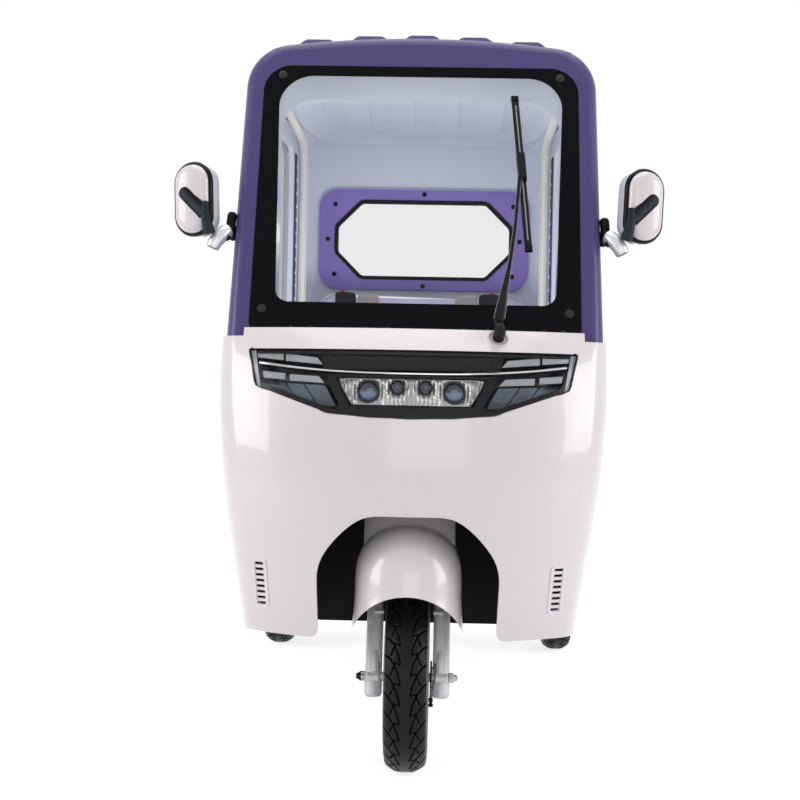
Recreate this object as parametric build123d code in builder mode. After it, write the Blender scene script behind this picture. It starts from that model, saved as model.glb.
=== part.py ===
"""Electric cargo tricycle: an enclosed one-row cab over a single steered front wheel, and an open
cargo bed over a driven rear axle.

Millimetres, +Z up. The tricycle faces -Y, and +X is on the right of someone who looks at its front.
The origin is on the floor, at the middle of its length and width.
"""

import os
from math import cos, radians, sin

from build123d import *

os.makedirs("parts", exist_ok=True)

# ---------------------------------------------------------------- driving dimensions
# overall stance
wheelbase = 1750.0
front_overhang = 215.0  # nose ahead of the front axle
rear_overhang = 650.0  # tail behind the rear axle
overall_length = front_overhang + wheelbase + rear_overhang
front_axle_y = front_overhang - overall_length / 2
rear_axle_y = front_axle_y + wheelbase
tail_y = rear_axle_y + rear_overhang

# general clearances
seat_gap = 0.3  # between curved faces that lie on each other
panel_gap = 0.3  # between fixed body panels
moving_gap = 6.0  # round a door, and between a wheel and what is near it
pin_clearance = 0.3  # round a hinge pin or a journal
far = 3000.0  # how far a cutter reaches, beyond the tricycle on every side

# wheels
front_tyre_diameter = 430.0
front_tyre_width = 98.0
rear_tyre_diameter = 430.0
rear_tyre_width = 96.0
rim_diameter = 254.0
rear_track = 960.0
front_axle_z = front_tyre_diameter / 2
rear_axle_z = rear_tyre_diameter / 2

# cab: lower body, drawn as plan sections from the bottom edge to above the belt
body_bottom_z = 324.0
belt_z = 1001.0
cowl_top_z = 1021.0  # where the cowl meets the windscreen
lamp_top_z = 971.0  # where the cowl breaks forward into the lamp
side_taper = 38.0  # each side draws in by this much from the nose to the back
cab_length = 1335.0  # front axle to the cab's back face
rear_corner = 55.0
cowl_wall = 12.0
side_wall = 30.0
# height, half-width, nose ahead of the front axle, nose sweep and corner radius of each plan section
plan_sections = [
    (body_bottom_z, 389.0, 172.0, 150.0, 105.0),
    (536.0, 421.0, 205.0, 160.0, 112.0),
    (756.0, 446.0, front_overhang - 1.4, 165.0, 112.0),
    (906.0, 452.0, 180.0, 150.0, 95.0),
    (1046.0, 450.0, 62.0, 85.0, 50.0),
]

# cab: upper body, drawn as cross sections from the front to the back
cab_half_width = 450.0
roof_front_z = 1722.0
roof_crest_z = 1811.0
roof_back_z = 1779.0
roof_crest_distance = 650.0  # crest behind the front axle
eave_drop = 36.0
roof_corner = 112.0
roof_thickness = 72.0
front_edge_radius = 34.0
roof_seam_z = 1744.0  # the roof laps over the front hoop down to here
cantrail_z = 1668.0  # underside of the roof's eaves, above the doors

upper_rear_corner = 48.0
seam_width = 2.5  # shadow gap between the roof and the front hoop
seam_depth = 6.0

# roof ribs: pressed bars with sloping sides, which run out into the roof at both ends
rib_count = 5
rib_pitch = 134.0
rib_top_width = 66.0
rib_base_width = 96.0
rib_height = 12.0
rib_root = 16.0  # how far each rib is let into the roof
rib_front = 150.0  # behind the front axle
rib_back = 1262.0
rib_run_out = 46.0
rib_stations = 9

# headliner
headliner_thickness = 10.0
headliner_groove_width = 62.0
headliner_groove_depth = 6.0
headliner_bar_front = 640.0
headliner_bar_back = 725.0
headliner_bar_depth = 14.0

# windscreen
screen_base = 50.0  # bottom of the hoop's face, behind the front axle
screen_rake = 19.2
screen_height = 718.0  # along the rake
screen_half_width = 394.0
screen_top_corner = 72.0
screen_bottom_corner = 14.0
clear_bottom = 71.0  # clear glass, from the foot of the screen
clear_top = 691.0
clear_bottom_half_width = 334.0
clear_top_half_width = 356.0
clear_top_corner = 86.0
clear_bottom_corner = 34.0
border_depth = 9.0
border_proud = 1.5
glass_thickness = 5.0
hoop_depth = 125.0  # front hoop, square to the screen
glass_lap = 10.0  # the glass runs under the border by this much
roof_lap = 398.0  # the roof laps over the hoop ahead of this, behind the front axle

# doors, their edges behind the front axle
door_front = 350.0
door_front_top = 430.0
door_back = 1060.0
sill_z = 418.0
door_corner = 60.0
door_glass_sill_z = 1051.0
door_glass_corner = 55.0
hinge_heights = (656.0, 916.0)
hinge_x = 460.0
hinge_y = 354.5
hinge_radius = 10.0
hinge_pin_radius = 4.0
hinge_knuckle = 30.0

# wheel arch opening in the cowl
arch_half_width = 203.0
arch_spring_z = 456.0
arch_top_z = 603.0
arch_curve = ((-175.0, 533.0), (-115.0, 590.0))  # right side's curve, from the side up to the top
arch_foot_narrowing = 4.0
arch_foot_radius = 20.0  # the cowl's rounded corners, either side of the opening

# door handles, let into the doors
handle_distance = 985.0
handle_z = 930.0
handle_length = 150.0
handle_height = 46.0
handle_pocket = 14.0
handle_bar_height = 20.0
handle_bar_depth = 7.0

# mirrors
mirror_foot_x = 446.0
mirror_foot_y = 196.0
mirror_foot_z = 1254.0
mirror_x = 537.0
mirror_y = 176.0
mirror_z = 1338.0
mirror_width = 118.0
mirror_height = 186.0
mirror_corner = 57.0
mirror_lean = 8.0
mirror_rim = 14.0  # depth of the rim behind the shell

# wiper, in the screen's own plane
wiper_pivot = (192.0, 2.0)
wiper_hold = (248.0, 411.0)
wiper_tip = (235.0, 625.0)
wiper_foot = (266.0, 212.0)

# steering
steer_rake = 20.0
fork_offset = 25.0  # axle ahead of the steering axis
handlebar_half_length = 325.0
fork_leg_half_spacing = 78.5

head_tube_low = 578.0  # along the steering axis, from the axle
head_tube_high = 708.0
head_tube_radius = 27.0
stem_radius = 16.0
bridge_low = 420.0
bridge_high = 450.0
handlebar_along = 912.0
axle_radius = 7.5
shaft_clearance = 0.05

# height, half-width and nose ahead of the axle, up the front mudguard's hood and its neck
mudguard_sections = (
    (316.0, 123.0, 196.0),
    (427.0, 121.0, 203.0),
    (500.0, 115.0, 189.0),
    (534.0, 98.0, 170.0),
    (556.0, 74.0, 151.0),
    (568.0, 48.0, 136.0),
    (574.0, 24.0, 124.0),
)
neck_sections = (
    (440.0, 105.0, 92.0),
    (560.0, 105.0, 84.0),
    (640.0, 103.0, 66.0),
)
mudguard_lip_z = 427.0  # top of the arch cut into its lower edge
mudguard_lip_half_width = 131.0
mudguard_tip_z = 316.0
mudguard_back = 72.0
mudguard_wall = 4.0
hood_bulge = 0.95  # depth of the hood's and the neck's rounded noses, over their half-width
neck_bulge = 0.55
lug_along = 165.0  # the lugs that carry it, up the steering axis from the axle

# dashboard and seat
dash_low_z = 884.0
dash_front = 10.0
dash_back = 225.0
seat_front = 610.0
seat_back_y = 1075.0
seat_half_width = 345.0
cushion_z = 706.0
backrest_tilt = 8.0
backrest_top_z = 1211.0

# rear wall and its window
window_z = 1372.0
window_width = 560.0
window_height = 244.0
window_frame_width = 670.0
window_frame_height = 322.0
window_frame_corner = 62.0
window_chamfer = 80.0
window_corner = 26.0

# floor, wheel arch liner and frame
floor_z = 368.0  # underside of the floor, on top of the rails
floor_thickness = 14.0
rail_x = 250.0
rail_front = 302.0
rail_back = wheelbase + rear_overhang - 65.0
rail_top_z = 498.0
kick_front = cab_length + 7.0  # the rails rise from here to pass over the axle
kick_back = cab_length + 105.0
outriggers = (560.0, 1010.0)
bearers = (cab_length + 130.0, wheelbase, wheelbase + 330.0, rail_back - 25.0)
bearer_half_width = 500.0
rail_width = 40.0
rail_height = 42.0
liner_half_width = 285.0
liner_front = -150.0
liner_back = 290.0
liner_top_z = 706.0
liner_wall = 6.0
liner_low_z = 300.0  # foot of its back wall, a little below the body
liner_corner = 30.0
column_hole_radius = 46.0

# lamp
lens_thickness = 5.0
lamp_depth = 42.0  # body surface to the lamp's floor
lamp_points = (
    (-186.0, 828.0),
    (-356.0, 886.0),
    (-377.0, lamp_top_z),
    (377.0, lamp_top_z),
    (356.0, 886.0),
    (186.0, 828.0),
)
lamp_bottom_z = 818.0
lamp_corners = (70.0, 24.0, 6.0)  # low, side and top
projectors = ((-95, 877, 23), (-31, 887, 16), (31, 887, 16), (95, 877, 23))

# cargo bed
bed_half_width = 540.0
bed_floor_z = 548.0
bed_side_height = 290.0
bed_wall = 22.0
bed_panel_depth = 6.0  # pressed panels in the bed's sides and tailgate
bed_panel_gap = 46.0
bed_rim = 36.0
bed_cab_gap = 20.0
bed_floor_thickness = 18.0
bed_bolt_x = 640.0
bed_bolt_y = 560.0
bed_bolt_radius = 5.5
gate_lugs = (-400.0, 0.0, 400.0)
gate_lug_width = 40.0
battery_front = kick_back
battery_back = battery_front + 200.0
battery_height = 205.0
mudguard_half_width = 62.0

# rear bumper
bumper_front = rail_back + 15.0
bumper_back = bumper_front + 34.0

# rear axle and springs
shaft_radius = 15.0
spring_x = 310.0
spring_half_length = 340.0
spring_eye_z = 372.0


def aft(distance):
    """A length behind the front axle, as a Y coordinate."""
    return front_axle_y + distance


cab_back_y = aft(cab_length)
steer_sin = sin(radians(steer_rake))
steer_cos = cos(radians(steer_rake))
# local +Z runs up the steering axis, and the axle is at local (0, -fork_offset, 0)
steer_plane = Plane(
    origin=(0, front_axle_y + fork_offset * steer_cos, front_axle_z - fork_offset * steer_sin),
    x_dir=(1, 0, 0),
    z_dir=(0, steer_sin, steer_cos),
)
screen_plane = Plane(
    origin=(0, aft(screen_base), cowl_top_z),
    x_dir=(1, 0, 0),
    z_dir=(0, -cos(radians(screen_rake)), sin(radians(screen_rake))),
)


def write(piece, name):
    """Labels a finished piece and writes it as its own STEP file."""
    piece.part.label = name
    export_step(piece.part, f"parts/{name}.step")


def along_steering(distance, ahead=0.0):
    """Y and Z of a point along the steering axis from the axle's height, and ahead of the axis."""
    y = steer_plane.origin.Y + distance * steer_sin - ahead * steer_cos
    z = steer_plane.origin.Z + distance * steer_cos + ahead * steer_sin
    return y, z


def section_plane(y):
    """The vertical plane across the tricycle at y, drawn as (X, Z)."""
    return Plane.XZ.offset(-y)


# ---------------------------------------------------------------- body forms
def lower_form(inset):
    """The lower cab as one closed form, drawn in by inset all round."""
    with BuildPart() as form:
        for height, half_width, nose, sweep, corner in plan_sections:
            side = half_width - inset
            back_side = side - side_taper
            tip = aft(inset - nose)
            back = cab_back_y - inset
            with BuildSketch(Plane.XY.offset(height)) as plan:
                with BuildLine():
                    ThreePointArc((-side, tip + sweep), (0, tip), (side, tip + sweep))
                    Polyline(
                        (side, tip + sweep),
                        (back_side, back),
                        (-back_side, back),
                        (-side, tip + sweep),
                    )
                make_face()
                fillet(plan.vertices().group_by(Axis.Y)[0], max(corner - inset, 8))
                fillet(plan.vertices().group_by(Axis.Y)[-1], max(rear_corner - inset, 8))
        loft()
    return form.part


def upper_form(side_inset, roof_inset):
    """The upper cab as one closed form from the belt to the roof, its front cut to the rake."""
    stations = (
        (0.0, roof_front_z),
        (roof_crest_distance, roof_crest_z),
        (cab_length - side_inset, roof_back_z),
    )
    with BuildPart() as form:
        for distance, roof_z in stations:
            side = cab_half_width - side_inset - side_taper * distance / cab_length
            top = roof_z - roof_inset
            with BuildSketch(section_plane(aft(distance))) as section:
                with BuildLine():
                    ThreePointArc((-side, top - eave_drop), (0, top), (side, top - eave_drop))
                    Polyline(
                        (side, top - eave_drop),
                        (side, belt_z),
                        (-side, belt_z),
                        (-side, top - eave_drop),
                    )
                make_face()
                fillet(section.vertices().group_by(Axis.Y)[-1], roof_corner - side_inset)
        loft()
        with BuildSketch(screen_plane):
            Rectangle(1400, 2400)
        extrude(amount=600, mode=Mode.SUBTRACT)
    return form.part


def slab_between(low, high):
    """Everything between two heights."""
    with BuildPart() as slab:
        with BuildSketch(Plane.XY.offset(low)):
            Rectangle(2 * far, 2 * far)
        extrude(amount=high - low)
    return slab.part


def across(points, radius=0.0, half_width=700.0):
    """A side outline of (distance behind the front axle, height), run across the tricycle."""
    with BuildPart() as piece:
        with BuildSketch(Plane.YZ) as outline:
            with BuildLine():
                Polyline(*[(aft(distance), height) for distance, height in points], close=True)
            make_face()
            if radius:
                fillet(outline.vertices(), radius)
        extrude(amount=half_width, both=True)
    return piece.part


def along(points, radius, front, back):
    """A front outline of (X, height), run from front to back, both behind the front axle."""
    with BuildPart() as piece:
        with BuildSketch(section_plane(aft(back))) as outline:
            with BuildLine():
                Polyline(*points, close=True)
            make_face()
            if radius:
                fillet(outline.vertices(), radius)
        extrude(amount=back - front)
    return piece.part


def block(low_x, high_x, front, back, low_z, high_z):
    """A plain block between two of each, front and back being behind the front axle."""
    with BuildPart() as piece:
        with Locations(((low_x + high_x) / 2, aft((front + back) / 2), (low_z + high_z) / 2)):
            Box(high_x - low_x, back - front, high_z - low_z)
    return piece.part


def ahead_of(distance):
    """Everything ahead of a place behind the front axle."""
    return block(-far, far, -far, distance, -far, far)


def behind(distance):
    """Everything behind a place behind the front axle."""
    return block(-far, far, distance, far, -far, far)


def door_form(gap):
    """Everything within the left door's outline, drawn in by gap."""
    with BuildPart() as piece:
        with BuildSketch(Plane.YZ.offset(300)):
            with BuildSketch(mode=Mode.PRIVATE) as outline:
                with BuildLine():
                    Polyline(
                        (aft(door_front), sill_z),
                        (aft(door_front), belt_z),
                        (aft(door_front_top), cantrail_z),
                        (aft(door_back), cantrail_z),
                        (aft(door_back), sill_z),
                        close=True,
                    )
                make_face()
                fillet(outline.vertices().sort_by(Axis.Y)[:2], door_corner)
                fillet(outline.vertices().sort_by(Axis.Y)[-2:], door_corner)
            offset(outline.sketch, amount=-gap)
        extrude(amount=200)
    return piece.part


def door_glass_form(inset):
    """The left door's window outline, drawn in by inset, run through the door's frame."""
    with BuildPart() as piece:
        with BuildSketch(Plane.YZ.offset(300)):
            with BuildSketch(mode=Mode.PRIVATE) as outline:
                with BuildLine():
                    Polyline(
                        (aft(door_front + 67), door_glass_sill_z),
                        (aft(door_front_top + 54), cantrail_z - 60),
                        (aft(door_back - 60), cantrail_z - 60),
                        (aft(door_back - 60), door_glass_sill_z),
                        close=True,
                    )
                make_face()
                fillet(outline.vertices(), door_glass_corner)
            offset(outline.sketch, amount=-inset)
        extrude(amount=200)
    return piece.part


def hinge_post(height, low, high, radius):
    """An upright round piece on the left door's hinge line, between low and high of a hinge's height."""
    with BuildPart() as piece:
        with BuildSketch(Plane.XY.offset(height + low)):
            with Locations((hinge_x, aft(hinge_y))):
                Circle(radius)
        extrude(amount=high - low)
    return piece.part


def screen_form(half_widths, bottom, top, corners, proud, depth):
    """An outline on the screen, from proud of its face into the cab; pairs are (bottom, top)."""
    with BuildPart() as piece:
        with BuildSketch(screen_plane.offset(proud)) as outline:
            with BuildLine():
                Polyline(
                    (-half_widths[0], bottom),
                    (half_widths[0], bottom),
                    (half_widths[1], top),
                    (-half_widths[1], top),
                    close=True,
                )
            make_face()
            fillet(outline.vertices().group_by(Axis.Y)[0], corners[0])
            fillet(outline.vertices().group_by(Axis.Y)[-1], corners[1])
        extrude(amount=-depth - proud)
    return piece.part


def clear_form(grow, proud, depth):
    """The clear glass's outline, grown all round, from proud of the screen to depth behind it."""
    return screen_form(
        (clear_bottom_half_width + grow, clear_top_half_width + grow),
        clear_bottom - grow,
        clear_top + grow,
        (clear_bottom_corner + grow, clear_top_corner + grow),
        proud,
        depth,
    )


def border_form(inset, proud):
    """The black surround's outline, drawn in all round, from proud of the screen to its own depth."""
    return screen_form(
        (screen_half_width - inset, screen_half_width - inset),
        inset,
        screen_height - inset,
        (screen_bottom_corner, screen_top_corner - inset),
        proud,
        border_depth,
    )


def corner_row(row):
    """A filter for the lamp outline's corners at the low, side or top row."""
    height = sorted({z for x, z in lamp_points})[row]
    return lambda corner: abs(corner.Z - height) < 1


def lamp_form(inset, front, back):
    """The lamp's outline, drawn in by inset, run from front to back behind the front axle."""
    with BuildPart() as piece:
        with BuildSketch(section_plane(aft(back))):
            with BuildSketch(mode=Mode.PRIVATE) as outline:
                with BuildLine():
                    Polyline(*lamp_points)
                    ThreePointArc(lamp_points[-1], (0, lamp_bottom_z), lamp_points[0])
                make_face()
                for row, corner in enumerate(lamp_corners):
                    fillet(outline.vertices().filter_by(corner_row(row)), corner)
            offset(outline.sketch, amount=-inset)
        extrude(amount=back - front)
    return piece.part


def window_form(inset):
    """The rear window frame's outline, run through the cab's back."""
    with BuildPart() as piece:
        with BuildSketch(section_plane(aft(cab_length + 100))):
            with Locations((0, window_z)):
                RectangleRounded(
                    window_frame_width - 2 * inset,
                    window_frame_height - 2 * inset,
                    window_frame_corner - inset,
                )
        extrude(amount=260)
    return piece.part


def window_opening(inset):
    """The rear window's octagonal glass, run through the cab's back."""
    with BuildPart() as piece:
        with BuildSketch(section_plane(aft(cab_length + 100))):
            with BuildSketch(mode=Mode.PRIVATE) as outline:
                with Locations((0, window_z)):
                    Rectangle(window_width, window_height)
                chamfer(outline.vertices(), window_chamfer)
                fillet(outline.vertices(), window_corner)
            offset(outline.sketch, amount=-inset)
        extrude(amount=260)
    return piece.part


lower_outer = lower_form(0)
lower_inner = lower_form(side_wall)
upper_square = upper_form(0, 0)
upper_inner = upper_form(side_wall, roof_thickness)
with BuildPart() as upper_builder:
    add(upper_square)
    screen_face = upper_builder.faces().sort_by(Axis(screen_plane.origin, screen_plane.z_dir))[-1]
    fillet(screen_face.edges().filter_by(lambda edge: edge.center().Z > belt_z + 5), front_edge_radius)
    back_face = upper_builder.faces().sort_by(Axis.Y)[-1]
    fillet(back_face.edges().filter_by(lambda edge: edge.center().Z > belt_z + 5), upper_rear_corner)
upper_outer = upper_builder.part
door_opening = door_form(0)

# ---------------------------------------------------------------- front cowl
# the body's front skin, from the bottom edge to the belt and back to the doors
with BuildPart() as arch_opening:
    foot_x = arch_half_width - arch_foot_narrowing
    with BuildSketch(section_plane(aft(-60))):
        with BuildLine():
            Spline(
                (-arch_half_width, arch_spring_z),
                *arch_curve,
                (0, arch_top_z),
                tangents=((0, 1), (1, 0)),
            )
            Line((-arch_half_width, arch_spring_z), (-foot_x, body_bottom_z + arch_foot_radius))
            RadiusArc(
                (-foot_x, body_bottom_z + arch_foot_radius),
                (-foot_x - arch_foot_radius, body_bottom_z),
                arch_foot_radius,
            )
            Polyline((-foot_x - arch_foot_radius, body_bottom_z), (-foot_x - arch_foot_radius, 200), (0, 200))
            mirror(about=Plane.YZ)
        make_face()
    extrude(amount=240)
with BuildPart() as front_cowl:
    add(lower_outer)
    add(lower_form(cowl_wall) & slab_between(0, belt_z - cowl_wall), mode=Mode.SUBTRACT)
    add(lower_form(cowl_wall) & behind(screen_base + 8), mode=Mode.SUBTRACT)
    add(slab_between(belt_z, far), mode=Mode.SUBTRACT)
    add(behind(door_front), mode=Mode.SUBTRACT)
    add(arch_opening.part, mode=Mode.SUBTRACT)
    add(lamp_form(0, -300, 60), mode=Mode.SUBTRACT)
    with BuildSketch(section_plane(aft(-60))):
        for side in (-1, 1):
            for slot in range(8):
                with Locations((side * (332 + slot), 392 + 13 * slot)):
                    SlotOverall(20, 6)
    extrude(amount=240, mode=Mode.SUBTRACT)
write(front_cowl, "front_cowl")

# the plain panel between the lamp and the foot of the windscreen
with BuildPart() as scuttle_panel:
    add(lower_form(0.5) & slab_between(belt_z, cowl_top_z))
    with BuildSketch(screen_plane):
        Rectangle(far, far)
    extrude(amount=-far, mode=Mode.SUBTRACT)
    add(block(-far, -screen_half_width, -far, far, -far, far), mode=Mode.SUBTRACT)
    add(block(screen_half_width, far, -far, far, -far, far), mode=Mode.SUBTRACT)
write(scuttle_panel, "scuttle_panel")

# ---------------------------------------------------------------- front hoop and windscreen
with BuildPart() as behind_hoop:
    with BuildSketch(screen_plane.offset(-hoop_depth)):
        Rectangle(far, far)
    extrude(amount=-far)
cab_hollow = upper_inner & behind_hoop.part
both_door_openings = door_opening + mirror(door_opening, about=Plane.YZ)

with BuildPart() as front_hoop:
    add(
        upper_outer
        & across(
            [
                (-400, belt_z),
                (door_front, belt_z),
                (door_front_top + 8, cantrail_z),
                (roof_lap, cantrail_z),
                (roof_lap, roof_seam_z),
                (-400, roof_seam_z),
            ]
        )
    )
    add(cab_hollow, mode=Mode.SUBTRACT)
    add(clear_form(5, 0, 500), mode=Mode.SUBTRACT)
    add(border_form(0, 0), mode=Mode.SUBTRACT)
    add(both_door_openings, mode=Mode.SUBTRACT)
write(front_hoop, "front_hoop")

# black surround, a little proud of the hoop and rebated at the back for the glass
with BuildPart() as windscreen_border:
    add(border_form(panel_gap, border_proud))
    add(clear_form(0, border_proud, border_depth), mode=Mode.SUBTRACT)
    add(clear_form(glass_lap, glass_thickness - border_depth, border_depth), mode=Mode.SUBTRACT)
write(windscreen_border, "windscreen_border")

with BuildPart() as windscreen_glass:
    add(clear_form(glass_lap - seat_gap, glass_thickness - border_depth, border_depth))
write(windscreen_glass, "windscreen_glass")

# ---------------------------------------------------------------- roof
def roof_height(x, distance):
    """Height of the roof's outside at x, this far behind the front axle."""
    crossings = upper_square.find_intersection_points(Axis((x, aft(distance), 0), (0, 0, 1)))
    return max(point.Z for point, normal in crossings)


def roof_rib(x):
    """One rib, as sections across it from the front to the back."""
    inner = (rib_back - rib_front - 2 * rib_run_out) / (rib_stations - 3)
    steps = [rib_front + rib_run_out + inner * step for step in range(rib_stations - 2)]
    steps = [rib_front, *steps, rib_back]
    with BuildPart() as rib:
        for distance in steps:
            rise = -2.0 if distance in (rib_front, rib_back) else rib_height
            low = roof_height(x, distance) - rib_root
            top = roof_height(x, distance) + rise
            half_top = rib_top_width / 2
            half_base = rib_base_width / 2
            with BuildSketch(section_plane(aft(distance))):
                with BuildLine():
                    Polyline(
                        (x - half_base - 4, low),
                        (x - half_base, low + rib_root),
                        (x - half_top - 3, top - 3),
                        (x - half_top + 5, top),
                        (x + half_top - 5, top),
                        (x + half_top + 3, top - 3),
                        (x + half_base, low + rib_root),
                        (x + half_base + 4, low),
                        close=True,
                    )
                make_face()
        loft(ruled=True)
    return rib.part


with BuildPart() as roof_panel:
    add(upper_outer)
    for rib in range(rib_count):
        add(roof_rib((rib - (rib_count - 1) / 2) * rib_pitch))
    add(cab_hollow, mode=Mode.SUBTRACT)
    add(
        across(
            [
                (-400, 900),
                (cab_length + 100, 900),
                (cab_length + 100, cantrail_z + panel_gap),
                (roof_lap + panel_gap, cantrail_z + panel_gap),
                (roof_lap + panel_gap, roof_seam_z + panel_gap),
                (-400, roof_seam_z + panel_gap),
            ]
        ),
        mode=Mode.SUBTRACT,
    )
    add(
        (upper_outer - upper_form(seam_depth, seam_depth))
        & block(-600, 600, -400, roof_lap - 60, roof_seam_z, roof_seam_z + seam_width),
        mode=Mode.SUBTRACT,
    )
write(roof_panel, "roof_panel")

# headliner: the ceiling inside the roof, with the ribs' grooves and one cross bar
def ceiling_form(drop):
    """The cab's hollow behind the front hoop, its sides and ceiling drawn in by drop."""
    with BuildPart() as form:
        add(upper_form(side_wall + panel_gap + drop, roof_thickness + panel_gap + drop))
        with BuildSketch(screen_plane.offset(-hoop_depth - panel_gap)):
            Rectangle(far, far)
        extrude(amount=far, mode=Mode.SUBTRACT)
        add(slab_between(0, cantrail_z + headliner_thickness), mode=Mode.SUBTRACT)
    return form.part


with BuildPart() as headliner:
    add(ceiling_form(0))
    add(ceiling_form(headliner_thickness), mode=Mode.SUBTRACT)
    add(
        (ceiling_form(headliner_thickness - 1) - ceiling_form(headliner_thickness + headliner_bar_depth))
        & block(-335, 335, headliner_bar_front, headliner_bar_back, 0, far)
    )
    for rib in range(rib_count):
        groove_x = (rib - (rib_count - 1) / 2) * rib_pitch
        half = headliner_groove_width / 2
        for front, back in ((rib_front, headliner_bar_front - 20), (headliner_bar_back + 20, 1180)):
            groove = block(groove_x - half, groove_x + half, front, back, 0, far)
            add(groove & ceiling_form(headliner_thickness - headliner_groove_depth), mode=Mode.SUBTRACT)
write(headliner, "headliner")

# ---------------------------------------------------------------- cab back and body
with BuildPart() as cab_back:
    add(upper_outer)
    add(cab_hollow, mode=Mode.SUBTRACT)
    add(slab_between(cantrail_z, far), mode=Mode.SUBTRACT)
    add(ahead_of(door_back - 30), mode=Mode.SUBTRACT)
    add(both_door_openings, mode=Mode.SUBTRACT)
    add(window_form(0), mode=Mode.SUBTRACT)
write(cab_back, "cab_back")

# lower body behind the doors' front edge: sills, rear quarters and the back below the belt
with BuildPart() as rear_body:
    add(lower_outer)
    add(lower_inner, mode=Mode.SUBTRACT)
    add(slab_between(belt_z, far), mode=Mode.SUBTRACT)
    add(ahead_of(door_front + panel_gap), mode=Mode.SUBTRACT)
    add(both_door_openings, mode=Mode.SUBTRACT)
    add(
        block(-rail_x - 60, rail_x + 60, cab_length - 135, cab_length + 65, 0, floor_z),
        mode=Mode.SUBTRACT,
    )
write(rear_body, "rear_body")

with BuildPart() as rear_window_frame:
    add(window_form(panel_gap))
    add(ahead_of(cab_length - side_wall - 14), mode=Mode.SUBTRACT)
    add(behind(cab_length + 2), mode=Mode.SUBTRACT)
    add(window_opening(0), mode=Mode.SUBTRACT)
write(rear_window_frame, "rear_window_frame")

with BuildPart() as rear_window_glass:
    add(window_opening(seat_gap))
    add(ahead_of(cab_length - side_wall - 3), mode=Mode.SUBTRACT)
    add(behind(cab_length - side_wall + 2), mode=Mode.SUBTRACT)
write(rear_window_glass, "rear_window_glass")

with BuildPart() as floor_pan:
    add(lower_form(side_wall + panel_gap) & slab_between(floor_z, floor_z + floor_thickness))
    add(ahead_of(liner_front), mode=Mode.SUBTRACT)
    add(
        block(
            -liner_half_width - panel_gap,
            liner_half_width + panel_gap,
            -far,
            liner_back + panel_gap,
            0,
            far,
        ),
        mode=Mode.SUBTRACT,
    )
    add(block(-28, 28, liner_back, rail_front + 48, 0, far), mode=Mode.SUBTRACT)
write(floor_pan, "floor_pan")

with BuildPart() as arch_liner:
    add(
        along(
            [
                (-liner_half_width, body_bottom_z + 4),
                (-liner_half_width, liner_top_z - 90),
                (-liner_half_width + 70, liner_top_z),
                (liner_half_width - 70, liner_top_z),
                (liner_half_width, liner_top_z - 90),
                (liner_half_width, body_bottom_z + 4),
            ],
            0,
            -300,
            liner_back,
        )
        & lower_form(cowl_wall + 0.5)
    )
    add(
        along(
            [
                (-liner_half_width + liner_wall, body_bottom_z - 40),
                (-liner_half_width + liner_wall, liner_top_z - 93),
                (-liner_half_width + 73, liner_top_z - liner_wall),
                (liner_half_width - 73, liner_top_z - liner_wall),
                (liner_half_width - liner_wall, liner_top_z - 93),
                (liner_half_width - liner_wall, body_bottom_z - 40),
            ],
            0,
            -400,
            liner_back - liner_wall,
        ),
        mode=Mode.SUBTRACT,
    )
    with BuildSketch(section_plane(aft(liner_back))):
        with Locations((0, (liner_low_z + floor_z) / 2)):
            RectangleRounded(2 * liner_half_width - 60, floor_z - liner_low_z, liner_corner)
    extrude(amount=liner_wall)
    with BuildSketch(steer_plane.offset(350)):
        Circle(column_hole_radius)
    extrude(amount=400, mode=Mode.SUBTRACT)
write(arch_liner, "arch_liner")

# ---------------------------------------------------------------- lamp
with BuildPart() as lamp_lens:
    add(lower_form(0) & lamp_form(panel_gap, -300, 40))
    add(lower_form(lens_thickness), mode=Mode.SUBTRACT)
write(lamp_lens, "lamp_lens")

with BuildPart() as lamp_housing:
    add(lower_form(lens_thickness + seat_gap) & lamp_form(panel_gap, -300, dash_front - panel_gap))
    add(lower_form(lamp_depth + 8), mode=Mode.SUBTRACT)
    add(lamp_form(12, -300, 40) - lower_form(lamp_depth), mode=Mode.SUBTRACT)
write(lamp_housing, "lamp_housing")

with BuildPart() as lamp_projectors:
    for x, z, radius in projectors:
        with BuildSketch(section_plane(aft(-100))):
            with Locations((x, z)):
                Circle(radius)
        extrude(amount=150)
    add(lower_form(lens_thickness + 12), mode=Mode.INTERSECT)
    add(lower_form(lamp_depth), mode=Mode.SUBTRACT)
write(lamp_projectors, "lamp_projectors")

with BuildPart() as lamp_strip:
    with BuildSketch(section_plane(aft(60))):
        with BuildLine():
            Polyline(
                (-350, 940),
                (0, 921),
                (350, 940),
                (350, 934),
                (0, 915),
                (-350, 934),
                close=True,
            )
        make_face()
    extrude(amount=400)
    add(lower_form(lens_thickness + 1), mode=Mode.INTERSECT)
    add(lower_form(lens_thickness + 11), mode=Mode.SUBTRACT)
write(lamp_strip, "lamp_strip")

# ---------------------------------------------------------------- dashboard and seat
with BuildPart() as dashboard:
    add(lower_form(cowl_wall + 3) & slab_between(dash_low_z, belt_z - cowl_wall - 3))
    add(ahead_of(dash_front), mode=Mode.SUBTRACT)
    add(behind(dash_back), mode=Mode.SUBTRACT)
    add(both_door_openings, mode=Mode.SUBTRACT)
write(dashboard, "dashboard")

with BuildPart() as seat_base:
    with BuildSketch(Plane.YZ) as seat_side:
        with BuildLine():
            Polyline(
                (aft(seat_front + 45), floor_z + floor_thickness),
                (aft(seat_front + 15), cushion_z),
                (aft(seat_back_y + 85), cushion_z),
                (aft(seat_back_y + 85), floor_z + floor_thickness),
                close=True,
            )
        make_face()
    extrude(amount=seat_half_width - 25, both=True)
write(seat_base, "seat_base")

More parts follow.
